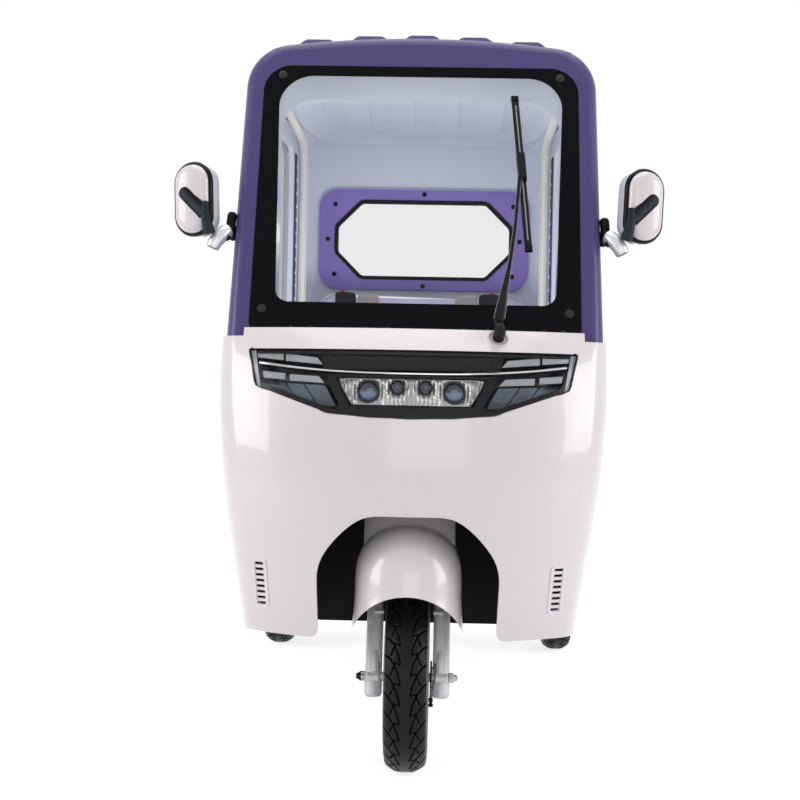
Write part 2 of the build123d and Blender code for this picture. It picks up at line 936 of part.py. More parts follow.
with BuildPart() as seat_cushion:
    with BuildSketch(Plane.YZ) as cushion_side:
        with BuildLine():
            Polyline(
                (aft(seat_front), cushion_z),
                (aft(seat_front - 8), cushion_z + 82),
                (aft(seat_back_y - 20), cushion_z + 96),
                (aft(seat_back_y - 20), cushion_z),
                close=True,
            )
        make_face()
        fillet(cushion_side.vertices().sort_by(Axis.Y)[-2:], 28)
    extrude(amount=seat_half_width, both=True)
    fillet(seat_cushion.faces().filter_by(Axis.X).edges().group_by(Axis.Z)[-1], 20)
write(seat_cushion, "seat_cushion")

# ---------------------------------------------------------------- frame
head_tube_y, head_tube_z = along_steering((head_tube_low + head_tube_high) / 2)
with BuildPart() as chassis_frame:
    for side in (-1, 1):
        with BuildSketch(Plane.YZ.offset(side * rail_x)):
            with BuildLine():
                Polyline(
                    (aft(rail_front), floor_z),
                    (aft(kick_front), floor_z),
                    (aft(kick_back), rail_top_z),
                    (aft(rail_back), rail_top_z),
                    (aft(rail_back), rail_top_z - rail_height),
                    (aft(kick_back + 18), rail_top_z - rail_height),
                    (aft(kick_front + 18), floor_z - rail_height),
                    (aft(rail_front), floor_z - rail_height),
                    close=True,
                )
            make_face()
        extrude(amount=rail_width / 2, both=True)
    # cross members and outriggers under the floor, then bearers under the bed
    for distance in (rail_front + 20, 720, 1150):
        add(block(-rail_x, rail_x, distance - 20, distance + 20, floor_z - rail_height, floor_z))
    for distance in outriggers:
        reach = block(-600, 600, distance - 18, distance + 18, floor_z - rail_height, floor_z)
        add(reach & lower_form(side_wall + panel_gap))
    for distance in bearers:
        with Locations((0, aft(distance), (rail_top_z + bed_floor_z) / 2)):
            Box(2 * bearer_half_width, 40, bed_floor_z - rail_top_z)
    # head tube, its down tube and its stays
    with BuildSketch(steer_plane.offset(head_tube_low)):
        Circle(head_tube_radius)
    extrude(amount=head_tube_high - head_tube_low)
    with BuildLine() as down_path:
        FilletPolyline(
            (0, head_tube_y, head_tube_z),
            (0, aft(rail_front + 20), head_tube_z - 70),
            (0, aft(rail_front + 20), floor_z - 10),
            radius=45,
        )
    with BuildSketch(Plane(origin=down_path.line @ 1, z_dir=-(down_path.line % 1))):
        Circle(24)
    sweep(path=down_path.line)
    with BuildSketch(steer_plane.offset(head_tube_low - 10)):
        Circle(stem_radius + pin_clearance)
    extrude(amount=head_tube_high - head_tube_low + 20, mode=Mode.SUBTRACT)
write(chassis_frame, "chassis_frame")

with BuildPart() as battery_pack:
    add(
        block(
            -rail_x + rail_width / 2,
            rail_x - rail_width / 2,
            battery_front,
            battery_back,
            rail_top_z - battery_height,
            rail_top_z,
        )
    )
write(battery_pack, "battery_pack")

# ---------------------------------------------------------------- wheels
def tyre(diameter, width):
    """A tyre's section, spun about X and centred on the origin."""
    crown = diameter / 2
    bead = rim_diameter / 2 + seat_gap
    with BuildPart() as piece:
        with BuildSketch(Plane.XY):
            with BuildLine():
                Polyline(
                    (-width * 0.5, bead + 36),
                    (-width * 0.345, bead + 10),
                    (-width * 0.345, bead),
                    (width * 0.345, bead),
                    (width * 0.345, bead + 10),
                    (width * 0.5, bead + 36),
                )
                ThreePointArc(
                    (width * 0.5, bead + 36),
                    (width * 0.47, crown - 22),
                    (width * 0.37, crown - 10),
                )
                ThreePointArc((width * 0.37, crown - 10), (0, crown), (-width * 0.37, crown - 10))
                ThreePointArc(
                    (-width * 0.37, crown - 10),
                    (-width * 0.47, crown - 22),
                    (-width * 0.5, bead + 36),
                )
            make_face()
        revolve(axis=Axis.X)
    return piece.part


def rim(width, hub_half_width, hub_radius, bore_radius):
    """A cast rim with five spokes, spun about X and centred on the origin."""
    seat = rim_diameter / 2
    flange = width * 0.345 + 4
    with BuildPart() as piece:
        with BuildSketch(Plane.XY):
            with BuildLine():
                Polyline(
                    (-flange, seat + 9),
                    (-width * 0.345 - 0.3, seat + 9),
                    (-width * 0.345 - 0.3, seat),
                    (width * 0.345 + 0.3, seat),
                    (width * 0.345 + 0.3, seat + 9),
                    (flange, seat + 9),
                    (flange, seat - 6),
                    (10, seat - 18),
                    (-10, seat - 18),
                    (-flange, seat - 6),
                    close=True,
                )
            make_face()
        revolve(axis=Axis.X)
        with BuildSketch(Plane.YZ):
            Circle(seat - 12)
            with PolarLocations(hub_radius + (seat - 18 - hub_radius) / 2, 5):
                Rectangle((seat - 18 - hub_radius) * 0.8, hub_radius * 0.95, mode=Mode.SUBTRACT)
        extrude(amount=10, both=True)
        with BuildSketch(Plane.YZ):
            Circle(hub_radius)
        extrude(amount=hub_half_width, both=True)
        with BuildSketch(Plane.YZ):
            Circle(bore_radius)
        extrude(amount=200, both=True, mode=Mode.SUBTRACT)
    return piece.part


front_axle = Location((0, front_axle_y, front_axle_z))
with BuildPart() as front_tyre:
    add(tyre(front_tyre_diameter, front_tyre_width).moved(front_axle))
write(front_tyre, "front_tyre")

with BuildPart() as front_rim:
    add(rim(front_tyre_width, 50, 56, axle_radius + shaft_clearance).moved(front_axle))
write(front_rim, "front_rim")

for side_name, side in (("left", 1), ("right", -1)):
    rear_axle_end = Location((side * rear_track / 2, rear_axle_y, rear_axle_z))
    with BuildPart() as rear_tyre:
        add(tyre(rear_tyre_diameter, rear_tyre_width).moved(rear_axle_end))
    write(rear_tyre, f"rear_{side_name}_tyre")
    with BuildPart() as rear_rim:
        add(rim(rear_tyre_width, 36, 46, shaft_radius + shaft_clearance).moved(rear_axle_end))
    write(rear_rim, f"rear_{side_name}_rim")

# ---------------------------------------------------------------- steering
# mudguard: a hood over the wheel and a narrower neck up into the arch, both open at the back
def mudguard_form(sections, bulge, inset):
    """A form of the front mudguard from its plan sections, drawn in by inset."""
    with BuildPart() as form:
        for height, half_width, nose in sections:
            side = half_width - inset
            tip = aft(inset - nose)
            back = mudguard_back + 3 * inset
            with BuildSketch(Plane.XY.offset(height - inset)):
                with BuildLine():
                    ThreePointArc(
                        (-side, tip + side * bulge),
                        (0, tip),
                        (side, tip + side * bulge),
                    )
                    Polyline(
                        (side, tip + side * bulge),
                        (side, aft(back)),
                        (-side, aft(back)),
                        (-side, tip + side * bulge),
                    )
                make_face()
        loft()
    return form.part


# lugs on the fork's legs, out to the inside of the mudguard
with BuildPart() as mudguard_lugs:
    for side in (-1, 1):
        with BuildSketch(Plane.YZ.offset(side * (fork_leg_half_spacing + 16))):
            with Locations(along_steering(lug_along, fork_offset)):
                Circle(11)
        extrude(amount=side * 60)
    add(mudguard_form(mudguard_sections, hood_bulge, mudguard_wall + seat_gap), mode=Mode.INTERSECT)

with BuildPart() as front_fork:
    add(mudguard_lugs.part)
    # legs: wide sliders below, narrower tubes above, tied by the bridge
    for side in (-1, 1):
        with BuildSketch(steer_plane.offset(-42)):
            with Locations((side * fork_leg_half_spacing, -fork_offset)):
                Circle(19.5)
        extrude(amount=262)
        with BuildSketch(steer_plane.offset(200)):
            with Locations((side * fork_leg_half_spacing, -fork_offset)):
                Circle(15)
        extrude(amount=bridge_high - 200)
        # nut outside each leg
        with BuildSketch(Plane.YZ.offset(side * (fork_leg_half_spacing + 15))):
            with Locations((front_axle_y, front_axle_z)):
                RegularPolygon(12, 6)
        extrude(amount=side * 14)
        # spacer between each leg and the hub
        with BuildSketch(Plane.YZ.offset(side * 50.5)):
            with Locations((front_axle_y, front_axle_z)):
                Circle(11)
        extrude(amount=side * 12)
    with BuildSketch(Plane.YZ):
        with Locations((front_axle_y, front_axle_z)):
            Circle(axle_radius)
    extrude(amount=fork_leg_half_spacing + 36, both=True)
    with BuildSketch(steer_plane.offset(bridge_low)):
        SlotCenterToCenter(2 * fork_leg_half_spacing, 58)
        with Locations((0, -fork_offset / 2)):
            RectangleRounded(2 * fork_leg_half_spacing + 50, 62, 20)
    extrude(amount=bridge_high - bridge_low)
    # stem through the head tube
    with BuildSketch(steer_plane.offset(bridge_high)):
        Circle(stem_radius + 12)
    extrude(amount=head_tube_low - bridge_high - 1)
    with BuildSketch(steer_plane.offset(head_tube_low - 2)):
        Circle(stem_radius)
    extrude(amount=head_tube_high - head_tube_low + 4)
    with BuildSketch(steer_plane.offset(head_tube_high + 1)):
        Circle(stem_radius + 6)
    extrude(amount=handlebar_along - 30 - head_tube_high)
write(front_fork, "front_fork")

with BuildPart() as front_mudguard:
    add(mudguard_form(mudguard_sections, hood_bulge, 0))
    add(mudguard_form(neck_sections, neck_bulge, 0))
    add(mudguard_form(mudguard_sections, hood_bulge, mudguard_wall), mode=Mode.SUBTRACT)
    add(mudguard_form(neck_sections, neck_bulge, mudguard_wall), mode=Mode.SUBTRACT)
    with BuildSketch(section_plane(aft(400))):
        with BuildLine():
            ThreePointArc(
                (-mudguard_lip_half_width, mudguard_tip_z),
                (0, mudguard_lip_z),
                (mudguard_lip_half_width, mudguard_tip_z),
            )
            Polyline(
                (mudguard_lip_half_width, mudguard_tip_z),
                (mudguard_lip_half_width, 0),
                (-mudguard_lip_half_width, 0),
                (-mudguard_lip_half_width, mudguard_tip_z),
            )
        make_face()
    extrude(amount=800, mode=Mode.SUBTRACT)
write(front_mudguard, "front_mudguard")

bar_y, bar_z = along_steering(handlebar_along)
with BuildPart() as handlebar:
    with BuildLine() as bar_path:
        FilletPolyline(
            (-handlebar_half_length, bar_y + 70, bar_z - 8),
            (-170, bar_y + 22, bar_z + 6),
            (-90, bar_y, bar_z),
            (90, bar_y, bar_z),
            (170, bar_y + 22, bar_z + 6),
            (handlebar_half_length, bar_y + 70, bar_z - 8),
            radius=40,
        )
    with BuildSketch(Plane(origin=bar_path.line @ 0, z_dir=bar_path.line % 0)):
        Circle(11)
    sweep(path=bar_path.line)
    with BuildSketch(steer_plane.offset(handlebar_along - 29)):
        RectangleRounded(70, 52, 12)
    extrude(amount=48)
write(handlebar, "handlebar")

# ---------------------------------------------------------------- rear axle and springs
with BuildPart() as rear_axle:
    with BuildSketch(Plane.YZ):
        with Locations((rear_axle_y, rear_axle_z)):
            Circle(30)
    extrude(amount=rear_track / 2 - 62, both=True)
    with BuildSketch(Plane.YZ):
        with Locations((rear_axle_y, rear_axle_z)):
            Circle(shaft_radius)
    extrude(amount=rear_track / 2 + 50, both=True)
    for side in (-1, 1):
        with BuildSketch(Plane.YZ.offset(side * (rear_track / 2 - 62))):
            with Locations((rear_axle_y, rear_axle_z)):
                Circle(84)
        extrude(amount=side * 20)
        with BuildSketch(Plane.YZ.offset(side * (rear_track / 2 + 36.5))):
            with Locations((rear_axle_y, rear_axle_z)):
                Circle(22)
        extrude(amount=side * 11)
    # gear case and motor
    with BuildSketch(Plane.YZ.offset(-60)):
        with Locations((rear_axle_y, rear_axle_z)):
            Circle(88)
        with Locations((rear_axle_y + 128, rear_axle_z + 6)):
            Circle(70)
        with Locations((rear_axle_y + 64, rear_axle_z + 3)):
            Rectangle(128, 120)
    extrude(amount=100)
    with BuildSketch(Plane.YZ.offset(-60)):
        with Locations((rear_axle_y + 128, rear_axle_z + 6)):
            Circle(82)
    extrude(amount=-170)
    # spring seats
    for side in (-1, 1):
        with Locations((side * spring_x, rear_axle_y, rear_axle_z + 30)):
            Box(62, 90, 24)
write(rear_axle, "rear_axle")

with BuildPart() as leaf_springs:
    for side in (-1, 1):
        seat_z = rear_axle_z + 42
        for leaf, reach in enumerate((1.0, 0.72, 0.45)):
            half = spring_half_length * reach
            rise = (spring_eye_z - seat_z - 14) * reach * reach
            low = seat_z + 7 * (2 - leaf)
            with BuildSketch(Plane.YZ.offset(side * spring_x)):
                with BuildLine():
                    ThreePointArc(
                        (rear_axle_y - half, low + rise),
                        (rear_axle_y, low),
                        (rear_axle_y + half, low + rise),
                    )
                    Line((rear_axle_y + half, low + rise), (rear_axle_y + half, low + rise + 7.2))
                    ThreePointArc(
                        (rear_axle_y + half, low + rise + 7.2),
                        (rear_axle_y, low + 7.2),
                        (rear_axle_y - half, low + rise + 7.2),
                    )
                    Line((rear_axle_y - half, low + rise + 7.2), (rear_axle_y - half, low + rise))
                make_face()
            extrude(amount=25, both=True)
        for end in (-1, 1):
            eye_y = rear_axle_y + end * spring_half_length
            with BuildSketch(Plane.YZ.offset(side * spring_x)):
                with Locations((eye_y, spring_eye_z + 4)):
                    Circle(17)
            extrude(amount=25, both=True)
            # hanger, bolted to the rail's outer face
            with BuildSketch(Plane.YZ.offset(side * spring_x)):
                with Locations((eye_y, (spring_eye_z + rail_top_z) / 2)):
                    Rectangle(34, rail_top_z - spring_eye_z - 4)
            extrude(amount=25, both=True)
            with BuildSketch(Plane.YZ.offset(side * (rail_x + rail_width / 2))):
                with Locations((eye_y, rail_top_z - rail_height / 2)):
                    Rectangle(60, rail_height - 8)
            extrude(amount=side * (spring_x - rail_x - rail_width / 2))
write(leaf_springs, "leaf_springs")

# ---------------------------------------------------------------- cargo bed
bed_front = cab_length + bed_cab_gap
bed_back = rail_back + 5.0
bed_length = bed_back - bed_front
bed_top_z = bed_floor_z + bed_floor_thickness + bed_side_height
with BuildPart() as cargo_bed:
    add(block(-bed_half_width, bed_half_width, bed_front, bed_back, bed_floor_z, bed_top_z))
    add(
        block(
            -bed_half_width + bed_wall,
            bed_half_width - bed_wall,
            bed_front + bed_wall,
            bed_back + 100,
            bed_floor_z + bed_floor_thickness,
            bed_top_z + 100,
        ),
        mode=Mode.SUBTRACT,
    )
    # pressed panels, four in each side
    panel_low = bed_floor_z + bed_floor_thickness + 12
    side_pitch = (bed_length - bed_panel_gap) / 4
    front_pitch = (2 * bed_half_width - bed_panel_gap) / 3
    for panel in range(4):
        panel_front = bed_front + bed_panel_gap + panel * side_pitch
        for side in (-1, 1):
            with Locations(
                (
                    side * (bed_half_width - bed_panel_depth / 2),
                    aft(panel_front + (side_pitch - bed_panel_gap) / 2),
                    (panel_low + bed_top_z - bed_rim) / 2,
                )
            ):
                Box(
                    bed_panel_depth,
                    side_pitch - bed_panel_gap,
                    bed_top_z - bed_rim - panel_low,
                    mode=Mode.SUBTRACT,
                )
    # rim round the top of the three fixed sides
    for side in (-1, 1):
        outer = side * (bed_half_width + 8)
        inner = side * (bed_half_width - bed_wall - 6)
        add(block(min(outer, inner), max(outer, inner), bed_front - 8, bed_back, bed_top_z - 26, bed_top_z))
    add(
        block(
            -bed_half_width - 8,
            bed_half_width + 8,
            bed_front - 8,
            bed_front + bed_wall + 6,
            bed_top_z - 26,
            bed_top_z,
        )
    )
    with BuildSketch(Plane.XY.offset(bed_floor_z)):
        with Locations((0, aft(bed_front + bed_length / 2))):
            with GridLocations(bed_bolt_x, bed_bolt_y, 2, 2):
                Circle(bed_bolt_radius)
    extrude(amount=bed_floor_thickness, mode=Mode.SUBTRACT)
write(cargo_bed, "cargo_bed")

# tailgate: its lower edge is round, and slotted for the bed's hinge lugs
gate_front = bed_back + moving_gap
gate_low_z = bed_floor_z + 6
gate_axis_y = aft(gate_front + bed_wall / 2)
gate_axis_z = gate_low_z + bed_wall / 2
with BuildPart() as tailgate:
    add(
        block(
            -bed_half_width + 3,
            bed_half_width - 3,
            gate_front,
            gate_front + bed_wall,
            gate_low_z,
            bed_top_z - 2,
        )
    )
    fillet(tailgate.edges().filter_by(Axis.X).group_by(Axis.Z)[0], bed_wall / 2 - 0.2)
    for panel in range(3):
        with Locations(
            (
                (panel - 1) * front_pitch,
                aft(gate_front + bed_wall - bed_panel_depth / 2),
                (panel_low + bed_top_z - bed_rim) / 2,
            )
        ):
            Box(
                front_pitch - bed_panel_gap,
                bed_panel_depth,
                bed_top_z - bed_rim - panel_low,
                mode=Mode.SUBTRACT,
            )
    for x in gate_lugs:
        with Locations((x, gate_axis_y, gate_axis_z)):
            Box(gate_lug_width + 2, bed_wall + 10, bed_wall + 16, mode=Mode.SUBTRACT)
    for x in gate_lugs:
        with BuildSketch(Plane.YZ.offset(x)):
            with Locations((gate_axis_y, gate_axis_z)):
                Circle(hinge_pin_radius + pin_clearance)
        extrude(amount=gate_lug_width / 2 + 21, both=True, mode=Mode.SUBTRACT)
write(tailgate, "tailgate")

with BuildPart() as tailgate_hinges:
    for x in gate_lugs:
        with BuildSketch(Plane.YZ.offset(x)):
            with Locations((gate_axis_y, gate_axis_z)):
                Circle(bed_wall / 2 - 1.5)
            with Locations((aft(bed_back + (gate_front - bed_back + bed_wall / 2) / 2), gate_axis_z - 4)):
                Rectangle(gate_front - bed_back + bed_wall / 2, 11)
        extrude(amount=gate_lug_width / 2, both=True)
        with BuildSketch(Plane.YZ.offset(x)):
            with Locations((gate_axis_y, gate_axis_z)):
                Circle(hinge_pin_radius)
        extrude(amount=gate_lug_width / 2 + 20, both=True)
write(tailgate_hinges, "tailgate_hinges")

with BuildPart() as rear_mudguards:
    for side in (-1, 1):
        with BuildSketch(Plane.YZ.offset(side * (rear_track / 2 - mudguard_half_width))) as arch:
            with Locations((rear_axle_y, rear_axle_z)):
                Circle(rear_tyre_diameter / 2 + 42)
                Circle(rear_tyre_diameter / 2 + 38, mode=Mode.SUBTRACT)
            with Locations((rear_axle_y, rear_axle_z - 300 + 60)):
                Rectangle(900, 600, mode=Mode.SUBTRACT)
        extrude(amount=side * 2 * mudguard_half_width)
        for end in (-1, 1):
            with Locations(
                (
                    side * rear_track / 2,
                    rear_axle_y + end * 60,
                    (bed_floor_z + rear_axle_z + rear_tyre_diameter / 2 + 34) / 2,
                )
            ):
                Box(30, 12, bed_floor_z - rear_axle_z - rear_tyre_diameter / 2 - 34)
write(rear_mudguards, "rear_mudguards")

with BuildPart() as rear_bumper:
    add(block(-505, 505, bumper_front, bumper_back, 424, 506))
    for side in (-1, 1):
        with Locations((side * rail_x, aft((rail_back + bumper_front) / 2), 470)):
            Box(60, bumper_front - rail_back, 60)
write(rear_bumper, "rear_bumper")

with BuildPart() as tail_lamps:
    for side in (-1, 1):
        with BuildSketch(section_plane(aft(bumper_back))):
            with Locations((side * 425, 465)):
                RectangleRounded(130, 56, 16)
        extrude(amount=-(tail_y - aft(bumper_back)))
write(tail_lamps, "tail_lamps")

# ---------------------------------------------------------------- seat back
with BuildPart() as seat_backrest:
    backrest_height = (backrest_top_z - cushion_z - 12) / cos(radians(backrest_tilt))
    backrest_plane = Plane(
        origin=(0, aft(seat_back_y - 20 + seat_gap), cushion_z + 12 + seat_gap),
        x_dir=(1, 0, 0),
        z_dir=(0, -cos(radians(backrest_tilt)), sin(radians(backrest_tilt))),
    )
    with BuildSketch(backrest_plane) as backrest:
        with Locations((0, backrest_height / 2)):
            Rectangle(2 * seat_half_width, backrest_height)
        fillet(backrest.vertices().group_by(Axis.Y)[-1], 70)
        fillet(backrest.vertices().group_by(Axis.Y)[0], 20)
    extrude(amount=-85)
    fillet(seat_backrest.faces().sort_by(Axis.Y)[0].edges(), 18)
write(seat_backrest, "seat_backrest")

# ---------------------------------------------------------------- doors
door_shell_low = door_form(moving_gap + 3) & (lower_outer - lower_inner)
door_shell_high = door_form(moving_gap + 3) & (upper_outer - upper_inner)
with BuildPart() as left_door_panel:
    add(door_shell_low & slab_between(0, belt_z))
    handle_front = handle_distance - handle_length / 2
    handle_back = handle_distance + handle_length / 2
    pocket = block(
        300,
        600,
        handle_front,
        handle_back,
        handle_z - handle_height / 2,
        handle_z + handle_height / 2,
    )
    bar = block(
        300,
        600,
        handle_front,
        handle_back,
        handle_z - handle_bar_height / 2,
        handle_z + handle_bar_height / 2,
    )
    add(pocket - lower_form(handle_pocket), mode=Mode.SUBTRACT)
    add((lower_outer - lower_form(handle_bar_depth)) & bar)
    # middle knuckle of each hinge, its strap and the pin's hole
    half = hinge_knuckle / 2
    for height in hinge_heights:
        add(hinge_post(height, -half, half, hinge_radius))
        with Locations((hinge_x - 26, aft(hinge_y + 24), height)):
            Box(52, 42, hinge_knuckle - 6)
        add(hinge_post(height, -60, 60, hinge_pin_radius + pin_clearance), mode=Mode.SUBTRACT)
write(left_door_panel, "left_door_panel")

with BuildPart() as left_hinges:
    for height in hinge_heights:
        for side in (-1, 1):
            low = half + 1 if side > 0 else -half - 15
            add(hinge_post(height, low, low + 14, hinge_radius))
            with Locations((hinge_x - 20, aft(hinge_y - 26), height + low + 7)):
                Box(40, 48, 14)
        add(hinge_post(height, -half - 10, half + 10, hinge_pin_radius))
    add(lower_form(-0.3), mode=Mode.SUBTRACT)
with BuildPart() as door_hinges:
    add(left_hinges.part)
    add(mirror(left_hinges.part, about=Plane.YZ))
write(door_hinges, "door_hinges")

with BuildPart() as left_door_frame:
    add(door_shell_high & slab_between(belt_z, far))
    add(door_glass_form(0), mode=Mode.SUBTRACT)
write(left_door_frame, "left_door_frame")

with BuildPart() as left_door_glass:
    add(door_glass_form(seat_gap))
    add(upper_form(12, 12), mode=Mode.INTERSECT)
    add(upper_form(17, 17), mode=Mode.SUBTRACT)
write(left_door_glass, "left_door_glass")

with BuildPart() as right_door_panel:
    add(mirror(left_door_panel.part, about=Plane.YZ))
write(right_door_panel, "right_door_panel")

with BuildPart() as right_door_frame:
    add(mirror(left_door_frame.part, about=Plane.YZ))
write(right_door_frame, "right_door_frame")

with BuildPart() as right_door_glass:
    add(mirror(left_door_glass.part, about=Plane.YZ))
write(right_door_glass, "right_door_glass")

# ---------------------------------------------------------------- mirrors and wiper
def mirror_section(side, depth, inset):
    """A mirror head's outline, drawn in by inset, at a depth from its middle plane."""
    with BuildSketch(section_plane(aft(mirror_y + depth)), mode=Mode.PRIVATE) as outline:
        with Locations(Location((side * mirror_x, mirror_z), side * -mirror_lean)):
            RectangleRounded(
                mirror_width - 2 * inset,
                mirror_height - 2 * inset,
                mirror_corner - inset,
            )
    return outline.sketch


mirror_dome = ((0, 0), (-16, 5), (-28, 18), (-33, 34))  # depth and inset
with BuildPart() as mirror_heads:
    for side in (-1, 1):
        extrude(mirror_section(side, mirror_rim, 0), amount=mirror_rim)
        loft([mirror_section(side, depth, inset) for depth, inset in mirror_dome])
write(mirror_heads, "mirror_heads")

with BuildPart() as mirror_arms:
    for side in (-1, 1):
        # foot on the hoop
        with BuildSketch(Plane.YZ.offset(side * (mirror_foot_x - 8))):
            with Locations((aft(mirror_foot_y), mirror_foot_z + 14)):
                RectangleRounded(40, 84, 16)
        extrude(amount=side * 22)
        # arm, deep in the middle and narrow at both ends
        with BuildSketch(section_plane(aft(mirror_foot_y - 14))):
            with BuildLine():
                Polyline(
                    (side * (mirror_foot_x + 6), mirror_foot_z + 26),
                    (side * (mirror_foot_x + 44), mirror_foot_z - 2),
                    (side * (mirror_foot_x + 48), mirror_foot_z - 22),
                    (side * (mirror_foot_x + 24), mirror_foot_z - 14),
                    (side * (mirror_foot_x + 6), mirror_foot_z - 2),
                    close=True,
                )
            make_face()
        extrude(amount=mirror_foot_y - mirror_y + 26)
        # stem, up the front of the head
        with BuildSketch(section_plane(aft(mirror_y - 18))):
            with BuildLine():
                Polyline(
                    (side * (mirror_foot_x + 30), mirror_foot_z - 10),
                    (side * (mirror_foot_x + 52), mirror_foot_z - 10),
                    (side * (mirror_x - 30), mirror_z - 30),
                    (side * (mirror_x + 12), mirror_z + 6),
                    (side * (mirror_x - 6), mirror_z + 26),
                    (side * (mirror_x - 54), mirror_z - 22),
                    close=True,
                )
            make_face()
        extrude(amount=22)
    add(upper_form(-seat_gap, 0), mode=Mode.SUBTRACT)
    add(mirror_heads.part, mode=Mode.SUBTRACT)
write(mirror_arms, "mirror_arms")

with BuildPart() as wiper:
    # arm, from the spindle up to the blade
    with BuildSketch(screen_plane.offset(24)):
        with BuildLine():
            Polyline(
                (wiper_pivot[0] - 9, wiper_pivot[1] + 4),
                (wiper_hold[0] - 4, wiper_hold[1]),
                (wiper_hold[0] + 4, wiper_hold[1]),
                (wiper_pivot[0] + 9, wiper_pivot[1] - 4),
                close=True,
            )
        make_face()
    extrude(amount=6)
    with BuildSketch(screen_plane.offset(5)):
        with BuildLine():
            Polyline(
                (wiper_foot[0] - 8, wiper_foot[1]),
                (wiper_tip[0] - 8, wiper_tip[1]),
                (wiper_tip[0] + 8, wiper_tip[1]),
                (wiper_foot[0] + 8, wiper_foot[1]),
                close=True,
            )
        make_face()
    extrude(amount=13)
    with BuildSketch(screen_plane.offset(16)):
        with Locations(wiper_hold):
            Circle(6)
    extrude(amount=12)
    # spindle and its cap
    with BuildSketch(Plane.XY.offset(cowl_top_z + 0.3)):
        with Locations((wiper_pivot[0], aft(screen_base - 34))):
            Circle(14)
    extrude(amount=22)
write(wiper, "wiper")

# ---------------------------------------------------------------- handlebar fittings
with BuildPart() as grips:
    for side in (-1, 1):
        with BuildLine() as grip_path:
            Line(
                (side * handlebar_half_length, bar_y + 70, bar_z - 8),
                (side * 215, bar_y + 22 + 48 * 45 / 155, bar_z + 6 - 14 * 45 / 155),
            )
        with BuildSketch(Plane(origin=grip_path.line @ 0, z_dir=grip_path.line % 0)):
            Circle(16)
            Circle(11 + seat_gap, mode=Mode.SUBTRACT)
        extrude(amount=(grip_path.line @ 1 - grip_path.line @ 0).length - 12)
write(grips, "grips")

with BuildPart() as switch_pods:
    for side in (-1, 1):
        pod_y = bar_y + 22 + 48 * 22 / 155
        pod_z = bar_z + 6 - 14 * 22 / 155
        pod_direction = Vector(side * 155, 48, -14).normalized()
        pod_start = Vector(side * 192, pod_y, pod_z) - pod_direction * 22
        pod_plane = Plane(origin=pod_start, x_dir=(0, 0, 1), z_dir=pod_direction)
        with BuildSketch(pod_plane):
            RectangleRounded(44, 44, 12)
            with Locations((40, 0)):
                RectangleRounded(56, 40, 10)
        extrude(amount=42)
        with BuildSketch(pod_plane.offset(-10)):
            Circle(11 + seat_gap)
        extrude(amount=70, mode=Mode.SUBTRACT)
write(switch_pods, "switch_pods")

with BuildPart() as instrument_pod:
    with BuildSketch(steer_plane.offset(handlebar_along - 40)):
        with Locations((0, -66)):
            RectangleRounded(150, 78, 14)
    extrude(amount=28)
write(instrument_pod, "instrument_pod")
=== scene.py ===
"""Dresses the electric cargo tricycle: studio, materials and the detail that its solids leave out.

Metres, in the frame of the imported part: it faces -Y, +X is its left side, +Z is up.
"""

import math

import bmesh
import bpy
from mathutils import Matrix, Vector
from mathutils.bvhtree import BVHTree


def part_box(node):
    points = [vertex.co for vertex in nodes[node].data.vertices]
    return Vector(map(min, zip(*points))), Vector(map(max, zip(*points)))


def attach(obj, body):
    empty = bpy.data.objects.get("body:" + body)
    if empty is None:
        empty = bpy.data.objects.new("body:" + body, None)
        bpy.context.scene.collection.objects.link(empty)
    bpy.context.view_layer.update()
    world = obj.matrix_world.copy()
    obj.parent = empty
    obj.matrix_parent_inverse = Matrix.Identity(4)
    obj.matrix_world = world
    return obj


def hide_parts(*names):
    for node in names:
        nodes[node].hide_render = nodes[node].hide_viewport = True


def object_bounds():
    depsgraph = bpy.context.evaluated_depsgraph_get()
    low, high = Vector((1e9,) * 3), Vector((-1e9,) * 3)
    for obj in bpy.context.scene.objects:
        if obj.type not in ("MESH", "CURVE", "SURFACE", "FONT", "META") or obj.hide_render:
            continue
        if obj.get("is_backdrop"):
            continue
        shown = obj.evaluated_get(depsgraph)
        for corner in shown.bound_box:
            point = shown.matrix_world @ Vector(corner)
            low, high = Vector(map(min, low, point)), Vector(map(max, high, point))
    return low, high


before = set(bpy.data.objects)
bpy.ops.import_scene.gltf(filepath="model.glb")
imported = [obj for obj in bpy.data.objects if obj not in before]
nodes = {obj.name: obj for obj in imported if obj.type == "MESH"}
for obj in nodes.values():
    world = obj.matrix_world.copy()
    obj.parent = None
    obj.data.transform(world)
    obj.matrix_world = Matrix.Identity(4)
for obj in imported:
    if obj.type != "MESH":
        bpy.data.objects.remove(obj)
cad_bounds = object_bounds()
scene = bpy.context.scene

# the part's own dimensions
FRONT_AXLE_Y = -1.0925
WHEELBASE = 1.75
AXLE_Z = 0.215
REAR_TRACK = 0.96
SCREEN_FOOT_Y = FRONT_AXLE_Y + 0.05
SCREEN_FOOT_Z = 1.021
SCREEN_RAKE = math.radians(19.2)
STEER_RAKE = math.radians(20.0)
FORK_OFFSET = 0.025
HANDLEBAR_ALONG = 0.912  # up the steering axis from the axle's height
CAB_MIDDLE_Y = FRONT_AXLE_Y + 0.62

SIDES = ((1, "left"), (-1, "right"))
AHEAD = Vector((0, -1, 0))
BEHIND = Vector((0, 1, 0))
DOWN = Vector((0, 0, -1))


def aft(distance):
    """Y of a point this far behind the front axle."""
    return FRONT_AXLE_Y + distance


def on_screen(x, height, proud=0.0):
    """A point on the windscreen's plane, height being along the rake, lifted off it by proud."""
    sin, cos = math.sin(SCREEN_RAKE), math.cos(SCREEN_RAKE)
    y = SCREEN_FOOT_Y + height * sin - proud * cos
    return Vector((x, y, SCREEN_FOOT_Z + height * cos + proud * sin))


